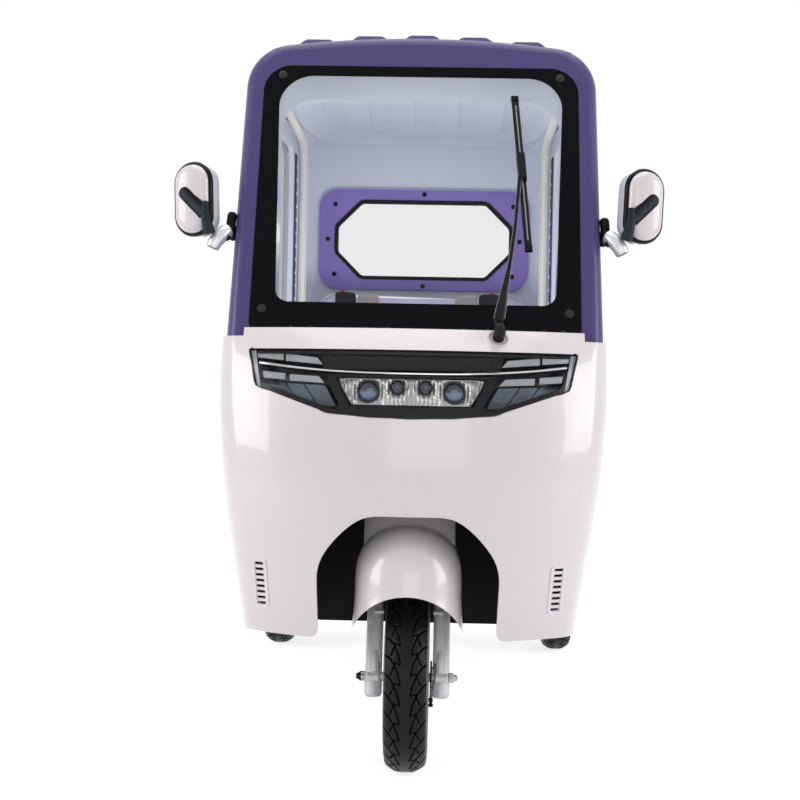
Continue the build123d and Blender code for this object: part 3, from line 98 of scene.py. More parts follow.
def on_steering(x, along, ahead=0.0):
    """A point along the steering axis from the axle's height, and ahead of that axis."""
    sin, cos = math.sin(STEER_RAKE), math.cos(STEER_RAKE)
    y = aft(FORK_OFFSET * cos) + along * sin - ahead * cos
    return Vector((x, y, AXLE_Z - FORK_OFFSET * sin + along * cos + ahead * sin))


def spread(low, high, count):
    """Evenly spaced values from low to high."""
    return [low + (high - low) * index / (count - 1) for index in range(count)]


# ---------------- shader nodes
def feed(tree, socket, value):
    """Joins another node's output to an input, or sets the input to a plain value."""
    if isinstance(value, bpy.types.NodeSocket):
        tree.links.new(value, socket)
    else:
        socket.default_value = value


def shader(tree, kind, inputs, result=0, **settings):
    """Adds a shader node, feeds its inputs and gives one of its outputs."""
    made = tree.nodes.new(f"ShaderNode{kind}")
    for name, value in settings.items():
        setattr(made, name, value)
    for key, value in inputs.items():
        feed(tree, made.inputs[key], value)
    return made.outputs[result] if len(made.outputs) else None


def background_rays(tree):
    """1 on the rays that should see the plain white background."""
    path = tree.nodes.new("ShaderNodeLightPath")
    seen = path.outputs["Is Camera Ray"]
    for ray in ("Is Transmission Ray", "Is Glossy Ray"):
        seen = shader(tree, "Math", {0: seen, 1: path.outputs[ray]}, operation="MAXIMUM")
    return seen


# ---------------- camera, light and floor
SENSOR_WIDTH = 36.0
FOCAL_LENGTH = 1468.0 / 800.0  # in picture widths

scene.view_settings.view_transform = "Standard"
camera_data = bpy.data.cameras.new("camera")
camera_data.sensor_width = SENSOR_WIDTH
camera_data.lens = FOCAL_LENGTH * SENSOR_WIDTH
camera_data.clip_end = 200.0
camera = bpy.data.objects.new("camera", camera_data)
scene.collection.objects.link(camera)
camera.matrix_world = (
    Matrix.Translation((0.066, aft(-3.415), 0.859))
    @ Matrix.Rotation(math.radians(1.6), 4, "Z")
    @ Matrix.Rotation(math.radians(90.0), 4, "X")
    @ Matrix.Rotation(math.radians(1.14), 4, "Z")
)
scene.camera = camera


def sky():
    """Soft even light, and plain white where the background itself is seen."""
    world = bpy.data.worlds.new("studio")
    scene.world = world
    world.use_nodes = True
    tree = world.node_tree
    tree.nodes.clear()
    soft = shader(tree, "Background", {"Color": (0.95, 0.96, 1.0, 1), "Strength": 0.5})
    white = shader(tree, "Background", {"Color": (1, 1, 1, 1), "Strength": 1.0})
    both = shader(tree, "MixShader", {0: background_rays(tree), 1: soft, 2: white})
    shader(tree, "OutputWorld", {0: both})


def area_light(name, place, target, size, power):
    """A rectangular soft light at place, aimed at target."""
    data = bpy.data.lights.new(name, "AREA")
    data.shape = "RECTANGLE"
    data.size, data.size_y = size
    data.energy = power
    lamp = bpy.data.objects.new(name, data)
    lamp.location = place
    lamp.rotation_euler = (Vector(target) - Vector(place)).to_track_quat("-Z", "Y").to_euler()
    scene.collection.objects.link(lamp)
    return lamp


def studio_floor():
    """A pale floor that keeps the shadow and glows faintly for the rays that see the background."""
    mesh = bpy.data.meshes.new("floor")
    mesh.from_pydata([(-40, -40, 0), (40, -40, 0), (40, 40, 0), (-40, 40, 0)], [], [(0, 1, 2, 3)])
    floor = bpy.data.objects.new("floor", mesh)
    scene.collection.objects.link(floor)
    material = bpy.data.materials.new("floor")
    material.use_nodes = True
    tree = material.node_tree
    tree.nodes.clear()
    diffuse = shader(tree, "BsdfDiffuse", {"Color": (0.8, 0.8, 0.8, 1)})
    dark = shader(tree, "Emission", {"Strength": 0.0})
    glow = shader(tree, "Emission", {"Strength": 0.75})
    seen = shader(tree, "MixShader", {0: background_rays(tree), 1: dark, 2: glow})
    shader(tree, "OutputMaterial", {0: shader(tree, "AddShader", {0: diffuse, 1: seen})})
    mesh.materials.append(material)
    floor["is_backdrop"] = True


sky()
area_light("key_left", (-5.2, -2.5, 2.3), (0, -0.5, 0.9), (2.4, 3.4), 108.0)
area_light("key_right", (5.2, -2.3, 2.3), (0, -0.5, 0.9), (2.4, 3.4), 102.0)
area_light("top", (0, -0.4, 4.6), (0, -0.2, 1.0), (3.6, 3.6), 60.0)
area_light("back", (0, 5.4, 3.2), (0, 0.6, 1.1), (3.6, 2.6), 50.0)
area_light("front", (0.6, -6.4, 1.5), (0, 0, 1.2), (3.2, 2.0), 28.0)
cab_fill = area_light("cab_fill", (0, CAB_MIDDLE_Y, 0.99), (0, aft(0.74), 1.7), (0.5, 0.36), 4.0)
cab_fill.visible_camera = False
cab_fill.visible_glossy = False
studio_floor()


# ---------------- materials
def linear(rgb):
    """An sRGB colour, 0 to 255, as linear values."""
    parts = [value / 255.0 for value in rgb]
    return (*(v / 12.92 if v <= 0.04045 else ((v + 0.055) / 1.055) ** 2.4 for v in parts), 1.0)


def shade(color, factor):
    """A linear colour made lighter or darker."""
    return (*(min(1.0, part * factor) for part in color[:3]), 1.0)


class Look:
    """A material being put together round its Principled shader."""

    def __init__(self, name, **inputs):
        self.material = bpy.data.materials.new(name)
        self.material.use_nodes = True
        self.tree = self.material.node_tree
        self.bsdf = self.tree.nodes["Principled BSDF"]
        coords = self.tree.nodes.new("ShaderNodeTexCoord")
        self.place, self.normal = coords.outputs["Object"], coords.outputs["Normal"]
        self.set(**inputs)

    def set(self, **inputs):
        """Feeds inputs of the Principled shader, named with underscores for spaces."""
        for name, value in inputs.items():
            feed(self.tree, self.bsdf.inputs[name.replace("_", " ")], value)

    def node(self, kind, inputs, result=0, **settings):
        return shader(self.tree, kind, inputs, result, **settings)

    def noise(self, scale, detail=3.0, rough=0.55):
        inputs = {"Scale": scale, "Detail": detail, "Roughness": rough, "Vector": self.place}
        return self.node("TexNoise", inputs, "Fac")

    def flutes(self, scale):
        """Waves that follow each other across the object."""
        return self.node("TexWave", {"Scale": scale, "Vector": self.place}, "Fac", bands_direction="X")

    def ramp(self, fac, *stops):
        """The colours of (position, colour) stops."""
        result = self.node("ValToRGB", {0: fac}, "Color")
        elements = result.node.color_ramp.elements
        while len(elements) < len(stops):
            elements.new(0.5)
        for element, (position, color) in zip(elements, stops):
            element.position = position
            element.color = color
        return result

    def drift(self, rgb, vary, scale):
        """The colour with a slow change of lightness over the surface."""
        color = linear(rgb)
        return self.ramp(self.noise(scale), (0.3, shade(color, 1 - vary)), (0.7, shade(color, 1 + vary)))

    def values(self, fac, low, high, start=0.3, end=0.7):
        """Values from low to high while fac goes from start to end."""
        inputs = {"Value": fac, "From Min": start, "From Max": end, "To Min": low, "To Max": high}
        return self.node("MapRange", inputs, "Result")

    def height(self):
        return self.node("SeparateXYZ", {0: self.place}, "Z")

    def product(self, first, second):
        return self.node("Math", {0: first, 1: second}, operation="MULTIPLY")

    def mix(self, fac, first, second):
        """Blends two colours."""
        return self.node("Mix", {0: fac, 6: first, 7: second}, 2, data_type="RGBA")

    def bump(self, height, strength, distance):
        inputs = {"Height": height, "Strength": strength, "Distance": distance}
        self.set(Normal=self.node("Bump", inputs, "Normal"))


def plain(
    name, rgb, rough, metal=0.0, vary=0.05, scale=5.0, grain=None, coat=0.0, rough_vary=0.04, specular=0.5
):
    """A finish with a slow colour drift, some roughness variation and, when given, a fine grain."""
    mat = Look(name, Metallic=metal, Specular_IOR_Level=specular)
    worn = mat.values(mat.noise(scale * 6), rough - rough_vary, rough + rough_vary)
    mat.set(Base_Color=mat.drift(rgb, vary, scale), Roughness=worn)
    if coat:
        mat.set(Coat_Weight=coat, Coat_Roughness=0.05)
    if grain:
        fineness, strength, distance = grain
        mat.bump(mat.noise(fineness, 4.0, 0.6), strength, distance)
    return mat.material


def inward(mat, centre):
    """1 on faces that look towards centre, 0 on the others."""
    offset = mat.node("VectorMath", {0: mat.place, 1: centre}, operation="SUBTRACT")
    facing = mat.node("VectorMath", {0: offset, 1: mat.normal}, "Value", operation="DOT_PRODUCT")
    return mat.values(facing, 1.0, 0.0, -0.06, -0.02)


def paint(name, outside, inside=None, centre=None, rough=0.3, coat=0.7, low_darkening=0.0, specular=0.5):
    """Body paint with orange peel; faces that look towards centre take the inside colour."""
    mat = Look(name, Coat_Weight=coat, Coat_Roughness=0.06, Specular_IOR_Level=specular)
    color = mat.drift(outside, 0.015, 1.4)
    if low_darkening:
        # darker and greyer towards the bottom of the body, with a noisy edge
        low = mat.values(mat.height(), low_darkening, 0.0, 0.3, 0.46)
        darkening = mat.product(low, mat.values(mat.noise(9.0, 4.0), 0.4, 1.0))
        color = mat.mix(darkening, color, linear((176, 168, 162)))
    if inside:
        color = mat.mix(inward(mat, centre), color, mat.drift(inside, 0.03, 2.2))
    mat.set(Base_Color=color, Roughness=mat.values(mat.noise(3.0), rough - 0.02, rough + 0.02))
    mat.bump(mat.noise(210.0, 2.0), 0.03, 0.0006)
    return mat.material


def glass(name, rgb, face, edge):
    """Clear where it is seen square on, and more of a mirror where it is seen at a slant."""
    mat = Look(name, Roughness=0.02)
    slant = mat.node("LayerWeight", {"Blend": 0.35}, "Fresnel")
    mat.set(Base_Color=mat.drift(rgb, 0.05, 3.0), Alpha=mat.values(slant, face, edge, 0.0, 1.0))
    return mat.material


def bar_finish():
    """Pale moulded light guide with fine upright flutes."""
    mat = Look("lamp_bar", Coat_Weight=0.6, Coat_Roughness=0.05)
    flutes = mat.flutes(90.0)
    streak = mat.product(flutes, mat.values(mat.noise(24.0), 0.2, 1.0))
    color = mat.ramp(streak, (0.0, linear((226, 232, 236))), (1.0, linear((160, 168, 174))))
    mat.set(Base_Color=color, Roughness=mat.values(mat.noise(60.0), 0.12, 0.22))
    mat.bump(flutes, 0.2, 0.001)
    return mat.material


def projector_glass():
    """A projector's eye with painted colours: painted shade dark above, and a painted reflection of its
    mirror in pale blue low inside.
    """
    mat = Look("projector_lens_painted_reflection", Coat_Weight=1.0, Coat_Roughness=0.03)
    height = mat.values(mat.height(), 0.0, 1.0, 0.856, 0.894)
    # painted reflection: pale blue low in the eye, darker above as painted shade
    stops = [(0.0, (112, 128, 156)), (0.45, (142, 164, 204)), (0.62, (58, 66, 80)), (1.0, (34, 38, 46))]
    painted_reflection = mat.ramp(height, *[(position, linear(rgb)) for position, rgb in stops])
    mat.set(Base_Color=painted_reflection, Roughness=mat.values(mat.noise(30.0), 0.04, 0.08))
    return mat.material


def ribbed_floor():
    """Rubber with ribs along the floor."""
    mat = Look("floor_rubber", Roughness=0.78)
    mat.set(Base_Color=mat.drift((58, 58, 62), 0.12, 6.0))
    mat.bump(mat.flutes(22.0), 0.5, 0.002)
    return mat.material


def tyre_look():
    """Dull black rubber with a fine grain."""
    mat = Look("tyre_rubber", Specular_IOR_Level=0.14)
    mat.set(Base_Color=mat.drift((20, 20, 21), 0.12, 12.0), Roughness=mat.values(mat.noise(30.0), 0.34, 0.46))
    mat.bump(mat.noise(900.0, 3.0), 0.22, 0.0004)
    return mat.material


def seat_look():
    """Lilac vinyl with a fine leather grain."""
    mat = Look("seat_vinyl", Roughness=0.44)
    mat.set(Base_Color=mat.drift((196, 190, 214), 0.03, 3.0))
    mat.bump(mat.node("TexVoronoi", {"Scale": 330.0, "Vector": mat.place}, "Distance"), 0.3, 0.0006)
    return mat.material


PEARL = (226, 218, 220)
VIOLET = (68, 56, 112)
CAB_LINING = (214, 219, 230)
BODY_LINING = (196, 200, 216)
CAST_GRAIN = (600, 0.15, 0.0005)
SATIN = {"rough": 0.4, "coat": 0.3, "specular": 0.25}  # the violet paint's sheen
upper_centre = (0, CAB_MIDDLE_Y, 1.25)
lower_centre = (0, CAB_MIDDLE_Y, 0.93)

white_paint = paint("pearl_white_paint", PEARL)
# darker and greyer low on the body
body_white = paint("pearl_white_body", PEARL, BODY_LINING, lower_centre, low_darkening=0.1)
purple_shell = paint("violet_shell_paint", VIOLET, CAB_LINING, upper_centre, **SATIN)
purple_trim = paint("violet_trim", (134, 116, 190), rough=0.5, coat=0.15)
bed_paint = paint("bed_paint", (72, 60, 115), **SATIN)
cap_white = paint("mirror_white", (222, 213, 215))
lining = plain("pale_lining", (216, 221, 232), 0.62, vary=0.03, grain=(260, 0.12, 0.0006))
cream_rubber = plain("cream_seal", (226, 225, 219), 0.6, vary=0.02, grain=(500, 0.15, 0.0005))
frame_white = plain("vent_frame", (236, 234, 235), 0.35, vary=0.02, coat=0.3)
boss_white = plain("wiper_boss", (214, 202, 200), 0.35, vary=0.03, coat=0.3)
white_dot = plain("white_rivet", (226, 224, 226), 0.4, vary=0.03)
piping = plain("white_piping", (232, 230, 232), 0.5, vary=0.03, grain=(600, 0.2, 0.0004))
grey_plastic = plain("grey_plastic", (196, 188, 186), 0.45, vary=0.04, grain=(800, 0.15, 0.0004))
dark_violet = plain("dark_violet_strip", (52, 42, 78), 0.5, vary=0.06)

black_gloss = plain("black_gloss", (10, 11, 14), 0.18, vary=0.1, specular=0.06)
gloss_black = plain("gloss_black", (9, 9, 11), 0.3, vary=0.08, specular=0.15)
wiper_black = plain("wiper_black", (14, 15, 17), 0.4, vary=0.08, specular=0.2)
arm_black = plain("arm_black", (30, 39, 43), 0.42, vary=0.08, specular=0.16)
cap_look = plain("screen_cap", (26, 30, 32), 0.35, vary=0.08, specular=0.3)
black_plastic = plain("black_plastic", (24, 24, 27), 0.55, vary=0.1, grain=(900, 0.25, 0.0004), specular=0.35)
liner_plastic = plain("liner_plastic", (15, 15, 17), 0.7, vary=0.1, grain=(700, 0.25, 0.0005), specular=0.2)
dash_plastic = plain("dash_plastic", (60, 58, 66), 0.6, vary=0.08, grain=(700, 0.3, 0.0005))
rubber = plain("black_rubber", (22, 22, 24), 0.72, vary=0.12, grain=(1100, 0.3, 0.0004), specular=0.3)
# darker rubber for the tread's grooves, painted shade
groove_painted_shade = plain("tread_groove_painted_shade", (7, 7, 7), 0.9, vary=0.2, specular=0.05)

black_steel = plain("black_steel_paint", (28, 28, 31), 0.42, vary=0.1, grain=(500, 0.1, 0.0004), coat=0.15)
spring_steel = plain("spring_steel", (70, 70, 74), 0.45, metal=0.8, vary=0.15)
silver = plain("silver_metal", (172, 172, 174), 0.42, metal=0.75, vary=0.06, grain=(700, 0.08, 0.0004))
cast_alloy = plain("cast_alloy", (212, 213, 214), 0.42, metal=0.25, vary=0.06, grain=CAST_GRAIN)
cast_white = plain("cast_alloy_bright", (222, 223, 224), 0.45, metal=0.2, vary=0.06, grain=CAST_GRAIN)
chrome = plain("chrome", (226, 227, 232), 0.1, metal=1.0, vary=0.03, rough_vary=0.03)
# bright metal used as painted highlights on the wiper's arm and blade
painted_highlight_metal = plain("wiper_painted_highlight", (150, 152, 154), 0.25, metal=0.8, vary=0.08)
shell_silver = plain("mirror_silver", (222, 225, 229), 0.22, metal=0.1, vary=0.06, coat=0.4)
shell_bright = plain("mirror_arm_bright", (222, 224, 228), 0.25, metal=0.3, vary=0.05, coat=0.4)
zinc = plain("zinc_bolt", (150, 140, 120), 0.4, metal=0.8, vary=0.12)
copper = plain("copper_end", (150, 92, 62), 0.45, metal=0.6, vary=0.2)

red_plastic = plain("red_button", (206, 42, 30), 0.35, vary=0.06)
red_lens = plain("red_lens", (150, 14, 18), 0.14, vary=0.1, coat=0.8)
amber_lens = plain("amber_lens", (214, 110, 16), 0.14, vary=0.08, coat=0.8)
clear_lens = plain("white_lens", (214, 216, 218), 0.14, vary=0.05, coat=0.8)
lamp_black = plain("lamp_black", (14, 15, 18), 0.2, vary=0.1, specular=0.3)
mask_look = plain("lamp_mask", (13, 14, 17), 0.25, vary=0.1, specular=0.3)
dark_collar = plain("projector_collar", (34, 36, 42), 0.3, vary=0.1, specular=0.4)
frosted = plain("lamp_segment", (176, 184, 190), 0.18, vary=0.12, scale=40.0, coat=0.6)
bezel_look = plain("bay_bezel", (170, 172, 170), 0.25, metal=0.5, vary=0.06)
reflector = plain("lamp_reflector", (226, 226, 225), 0.12, metal=0.6, vary=0.06, scale=60.0)
dark_reflector = plain("lamp_dark_reflector", (98, 108, 116), 0.2, metal=0.5, vary=0.4, scale=16.0)
bar_look = bar_finish()
lens_painted_reflection = projector_glass()
floor_rubber = ribbed_floor()
tyre_rubber = tyre_look()
seat_vinyl = seat_look()
clear_glass = glass("clear_glass", (30, 34, 36), 0.03, 0.5)
lens_glass = glass("smoked_lens", (20, 22, 24), 0.06, 0.45)

for material, names in (
    (body_white, "front_cowl rear_body left_door_panel right_door_panel"),
    (white_paint, "scuttle_panel front_mudguard"),
    (purple_shell, "front_hoop roof_panel cab_back left_door_frame right_door_frame"),
    (purple_trim, "rear_window_frame"),
    (lining, "headliner"),
    (black_gloss, "windscreen_border"),
    (lamp_black, "lamp_housing"),
    (clear_glass, "windscreen_glass rear_window_glass left_door_glass right_door_glass"),
    (lens_glass, "lamp_lens"),
    (chrome, "lamp_projectors lamp_strip"),
    (floor_rubber, "floor_pan"),
    (liner_plastic, "arch_liner"),
    (dash_plastic, "dashboard"),
    (black_plastic, "seat_base rear_mudguards wiper instrument_pod"),
    (seat_vinyl, "seat_cushion seat_backrest"),
    (black_steel, "chassis_frame battery_pack rear_axle tailgate_hinges rear_bumper door_hinges handlebar"),
    (spring_steel, "leaf_springs"),
    (bed_paint, "cargo_bed tailgate"),
    (red_lens, "tail_lamps"),
    (arm_black, "mirror_arms"),
    (cap_white, "mirror_heads"),
    (cast_alloy, "front_fork"),
    (silver, "front_rim rear_left_rim rear_right_rim"),
    (rubber, "grips"),
    (grey_plastic, "switch_pods"),
    (tyre_rubber, "front_tyre rear_left_tyre rear_right_tyre"),
):
    for name in names.split():
        nodes[name].data.materials.clear()
        nodes[name].data.materials.append(material)


# ---------------- making pieces
def piece(name, bm, material, body="tricycle", replaces=None, sharp=35.0):
    """A finished mesh as an object that rides on a body; it may stand for one of the part's nodes."""
    bmesh.ops.recalc_face_normals(bm, faces=bm.faces)
    mesh = bpy.data.meshes.new(name)
    bm.to_mesh(mesh)
    bm.free()
    mesh.materials.append(material)
    mesh.shade_smooth()
    mesh.set_sharp_from_angle(angle=math.radians(sharp))
    made = bpy.data.objects.new(name, mesh)
    scene.collection.objects.link(made)
    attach(made, body)
    if replaces:
        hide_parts(replaces)
    return made


def ray_tree(*meshes):
    """A ray-casting tree of one or more meshes."""
    points, faces = [], []
    for mesh in meshes:
        start = len(points)
        points += [vertex.co.copy() for vertex in mesh.vertices]
        faces += [tuple(start + index for index in face.vertices) for face in mesh.polygons]
    return BVHTree.FromPolygons(points, faces)


def surface(*names):
    """A ray-casting tree of one or more of the part's nodes."""
    return ray_tree(*[nodes[name].data for name in names])


def touched(tree, starts, direction):
    """The points that rays from the starts meet first, without the rays that miss."""
    hits = [tree.ray_cast(Vector(start), direction)[0] for start in starts]
    return [hit for hit in hits if hit]


def from_front(tree, x, z, start=-3.0):
    """Y of the first surface met from the front at X and Z, or close by where that lies in a gap."""
    for step in range(30):
        shift = 0.0015 * ((step + 1) // 2) * (-1) ** step
        hits = touched(tree, [(x * (1 - 0.004 * step), start, z + shift)], BEHIND)
        if hits:
            return hits[0].y
    return None


def skin(bm, rows, close_rows=False, close_columns=False):
    """Quads over rows of points; rows and columns may each close on themselves."""
    verts = [[bm.verts.new(point) for point in row] for row in rows]
    count, width = len(verts), len(verts[0])
    for r in range(count if close_rows else count - 1):
        below = verts[(r + 1) % count]
        for c in range(width if close_columns else width - 1):
            following = (c + 1) % width
            bm.faces.new((verts[r][c], verts[r][following], below[following], below[c]))
    return verts


def loft(bm, rings, looped=False):
    """A body through rings of points, with its ends capped, or joined when it is looped."""
    verts = skin(bm, rings, close_rows=looped, close_columns=True)
    if not looped:
        bm.faces.new(verts[0])
        bm.faces.new(list(reversed(verts[-1])))
    return bm


def slab(bm, front, thick):
    """A closed plate: a grid of points and the same grid this far behind it."""
    borders = []
    for shift in (0, thick):
        grid = skin(bm, [[point + BEHIND * shift for point in row] for row in front])
        border = list(grid[0]) + [row[-1] for row in grid[1:]]
        border += list(reversed(grid[-1]))[1:] + [row[0] for row in reversed(grid[1:-1])]
        borders.append(border)
    first, second = borders
    for index, vertex in enumerate(first):
        after = (index + 1) % len(first)
        bm.faces.new((vertex, first[after], second[after], second[index]))
    return bm


def headings(path, closed):
    """The direction of a path at each of its points."""
    count = len(path)
    found = []
    for index in range(count):
        before = path[index - 1] if index or closed else path[0]
        after = path[(index + 1) % count] if index < count - 1 or closed else path[-1]
        found.append((after - before).normalized())
    return found


def circle(centre, side, over, radius, sides, flat=1.0):
    """Points round a centre, squashed along over by flat."""
    angles = [math.tau * step / sides for step in range(sides)]
    return [centre + radius * (side * math.cos(turn) + over * math.sin(turn) * flat) for turn in angles]


def tube(bm, path, radius, sides=12, closed=False, flat=1.0, up=None):
    """A tube along a path; radius is one length or one for each point, flat squashes it along up."""
    radii = radius if isinstance(radius, list) else [radius] * len(path)
    rings = []
    side = None
    for point, reach, ahead in zip(path, radii, headings(path, closed)):
        if up is not None:
            side = ahead.cross(up).normalized()
        elif side is None:
            side = ahead.orthogonal().normalized()
        else:
            side = (side - ahead * side.dot(ahead)).normalized()
        rings.append(circle(point, side, side.cross(ahead).normalized(), reach, sides, flat))
    return loft(bm, rings, closed)


def ribbon(bm, path, outs, half_width, low, high, closed=False):
    """A flat band along a path: outs is its outward direction, or one for each point."""
    if isinstance(outs, Vector):
        outs = [outs] * len(path)
    section = [(-1, low), (-0.8, high), (0.8, high), (1, low)]
    rings = []
    for point, out, ahead in zip(path, outs, headings(path, closed)):
        side = ahead.cross(out).normalized()
        rings.append([point + side * half_width * u + out * v for u, v in section])
    return loft(bm, rings, closed)


def lathe(bm, centre, axis, profile, sides=32):
    """A turned shape: profile is (distance along the axis, radius) from end to end."""
    axis = Vector(axis).normalized()
    side = axis.orthogonal().normalized()
    over = axis.cross(side)
    rings = [circle(Vector(centre) + axis * along, side, over, reach, sides) for along, reach in profile]
    return loft(bm, rings)


def bolt(bm, centre, axis, radius, height):
    """A hexagon head with a chamfered top on its washer."""
    washer = radius * 1.35
    lathe(bm, centre, axis, [(-0.001, washer), (0.0012, washer)], 20)
    return lathe(bm, centre, axis, [(0.0012, radius), (height * 0.8, radius), (height, radius * 0.82)], 6)


def screw(bm, centre, axis, radius, height):
    """A low round screw head with a small recess."""
    rise = [(-0.0005, radius), (height * 0.5, radius), (height, radius * 0.72)]
    recess = [(height, radius * 0.34), (height * 0.35, radius * 0.24)]
    return lathe(bm, centre, axis, rise + recess, 18)


def rounded(corners, radii, steps=6):
    """A closed 2-D outline through corners, each rounded by its own radius."""
    outline = []
    count = len(corners)
    radii = radii if isinstance(radii, list) else [radii] * count
    for index, (corner, radius) in enumerate(zip(corners, radii)):
        point = Vector(corner)
        into = (Vector(corners[index - 1]) - point).normalized()
        out = (Vector(corners[(index + 1) % count]) - point).normalized()
        half = into.angle(out) / 2
        reach = radius / math.tan(half)
        centre = point + (into + out).normalized() * (radius / math.sin(half))
        start, end = point + into * reach - centre, point + out * reach - centre
        turn = start.angle_signed(end)
        outline += [centre + Matrix.Rotation(-turn * step / steps, 2) @ start for step in range(steps + 1)]
    return outline


def oblong(half_x, low, high):
    """The four corners of a rectangle round the middle line, anticlockwise from low left."""
    return [(-half_x, low), (half_x, low), (half_x, high), (-half_x, high)]


def smooth_path(points, steps=8):
    """A smooth path through a few points."""
    path = []
    for index in range(len(points) - 1):
        before, start = points[max(index - 1, 0)], points[index]
        end, after = points[index + 1], points[min(index + 2, len(points) - 1)]
        for step in range(steps):
            t = step / steps
            square = (2 * before - 5 * start + 4 * end - after) * t * t
            cube = (3 * start - before - 3 * end + after) * t**3
            path.append(0.5 * (2 * start + (end - before) * t + square + cube))
    path.append(points[-1])
    return path


def route(side, points, steps):
    """A smooth path through (X, distance behind the front axle, Z), mirrored for the right side."""
    return smooth_path([Vector((side * x, aft(distance), z)) for x, distance, z in points], steps)


# ---------------- lamp
lens_tree = surface("lamp_lens")
# X, Z and radius of each
projectors = [(-0.095, 0.877, 0.022), (-0.031, 0.887, 0.0145), (0.031, 0.887, 0.0145), (0.095, 0.877, 0.022)]


def in_lamp(x, z, depth):
    """A point this deep behind the lamp's clear front."""
    return Vector((x, from_front(lens_tree, x, z) + depth, z))


def lamp_panel(bm, side, low, high, depth, columns, rows, crown=0.0, thick=0.004):
    """A plate that follows the lens between a lower and an upper line, each of two (X, Z) points."""
    front = []
    for v in spread(0, 1, rows + 1):
        row = []
        for u in spread(0, 1, columns + 1):
            bottom = Vector(low[0]).lerp(Vector(low[1]), u)
            x, z = bottom.lerp(Vector(high[0]).lerp(Vector(high[1]), u), v)
            row.append(in_lamp(side * x, z, depth - crown * math.sin(math.pi * v)))
        front.append(row)
    return slab(bm, front, thick)


def lamp_bars():
    """The four daylight bars at each end, with a moulded crown."""
    bars = [
        (((0.293, 0.9445), (0.354, 0.95)), ((0.293, 0.9615), (0.3575, 0.9665))),
        (((0.201, 0.9355), (0.287, 0.943)), ((0.214, 0.951), (0.2875, 0.9595))),
        (((0.286, 0.9), (0.337, 0.9035)), ((0.286, 0.9145), (0.34, 0.919))),
        (((0.194, 0.8935), (0.2745, 0.8975)), ((0.208, 0.9085), (0.2755, 0.9125))),
    ]
    for number, (low, high) in enumerate(bars, 1):
        for side, end in SIDES:
            bm = lamp_panel(bmesh.new(), side, low, high, 0.01, 14, 4, crown=0.003, thick=0.006)
            piece(f"lamp_bar_{end}_{number}", bm, bar_look)


def lamp_blade():
    """The bright line through the lamp, level in the middle and rising to its ends."""
    half_length = 0.35
    front = []
    for row, depth in ((-1.0, 0.0095), (-0.6, 0.0068), (0.0, 0.006), (0.6, 0.0068), (1.0, 0.0095)):
        points = []
        for x in spread(-half_length, half_length, 61):
            outward = abs(x) / half_length
            middle = 0.9178 + 0.0215 * outward**2.6
            half_height = 0.0026 + 0.001 * outward**2
            points.append(in_lamp(x, middle + row * half_height, depth))
        front.append(points)
    piece("lamp_blade", slab(bmesh.new(), front, 0.012), chrome, replaces="lamp_strip")


def lamp_masks():
    """The black cover behind the lens, round the bars and the bay."""
    for name, (low_x, low_z), (high_x, high_z), depth, rows in (
        ("upper", (0.197, 0.9255), (0.208, 0.9665), 0.0088, 3),
        ("lower", (0.15, 0.8235), (0.17, 0.8445), 0.0095, 3),
        ("middle", (0.172, 0.9075), (0.192, 0.9135), 0.0095, 2),
    ):
        low, high = ((-low_x, low_z), (low_x, low_z)), ((-high_x, high_z), (high_x, high_z))
        piece(f"lamp_{name}_mask", lamp_panel(bmesh.new(), 1, low, high, depth, 40, rows), mask_look)
    low, high = ((0.137, 0.8445), (0.17, 0.9075)), ((0.158, 0.8425), (0.19, 0.909))
    for side, end in SIDES:
        piece(f"lamp_bay_flank_{end}", lamp_panel(bmesh.new(), side, low, high, 0.0095, 10, 3), mask_look)


def lamp_facets():
    """The slanted dark mirrors low in each end of the lamp."""
    edge_highlights = [
        (((0.166, 0.8415), (0.208, 0.845)), ((0.193, 0.8885), (0.24, 0.8905))),
        (((0.211, 0.8455), (0.262, 0.862)), ((0.243, 0.8905), (0.284, 0.893))),
        (((0.265, 0.863), (0.322, 0.8835)), ((0.287, 0.893), (0.333, 0.896))),
    ]
    for side, end in SIDES:
        bm = bmesh.new()
        for low, high in edge_highlights:
            lamp_panel(bm, side, low, high, 0.014, 8, 6, crown=-0.006)
        piece(f"lamp_facets_{end}", bm, dark_reflector)


def lamp_end_strips():
    """The clear edge that shows at each end of the lens."""
    for side, end in SIDES:
        front = []
        for t in spread(0, 1, 13):
            z, outer, width = 0.9665 - 0.0835 * t, 0.3725 - 0.0205 * t, 0.0125 - 0.004 * t
            front.append([in_lamp(side * (outer - width * u), z, 0.0062) for u in (0, 0.5, 1)])
        piece(f"lamp_end_strip_{end}", slab(bmesh.new(), front, 0.004), frosted)


def bay_depth(x, z):
    """How deep the bay's bright reflector lies: a bowl round each projector, pleated between them."""
    depth = 0.016
    for centre_x, centre_z, radius in projectors:
        reach = math.hypot(x - centre_x, z - centre_z) / radius
        depth += 0.012 * math.exp(-((reach / 1.25) ** 4))
    pleat = math.cos(math.tau * x / 0.0095)
    return depth + 0.0022 * pleat * (1 - math.exp(-(((abs(x) - 0.095) / 0.026) ** 4)))


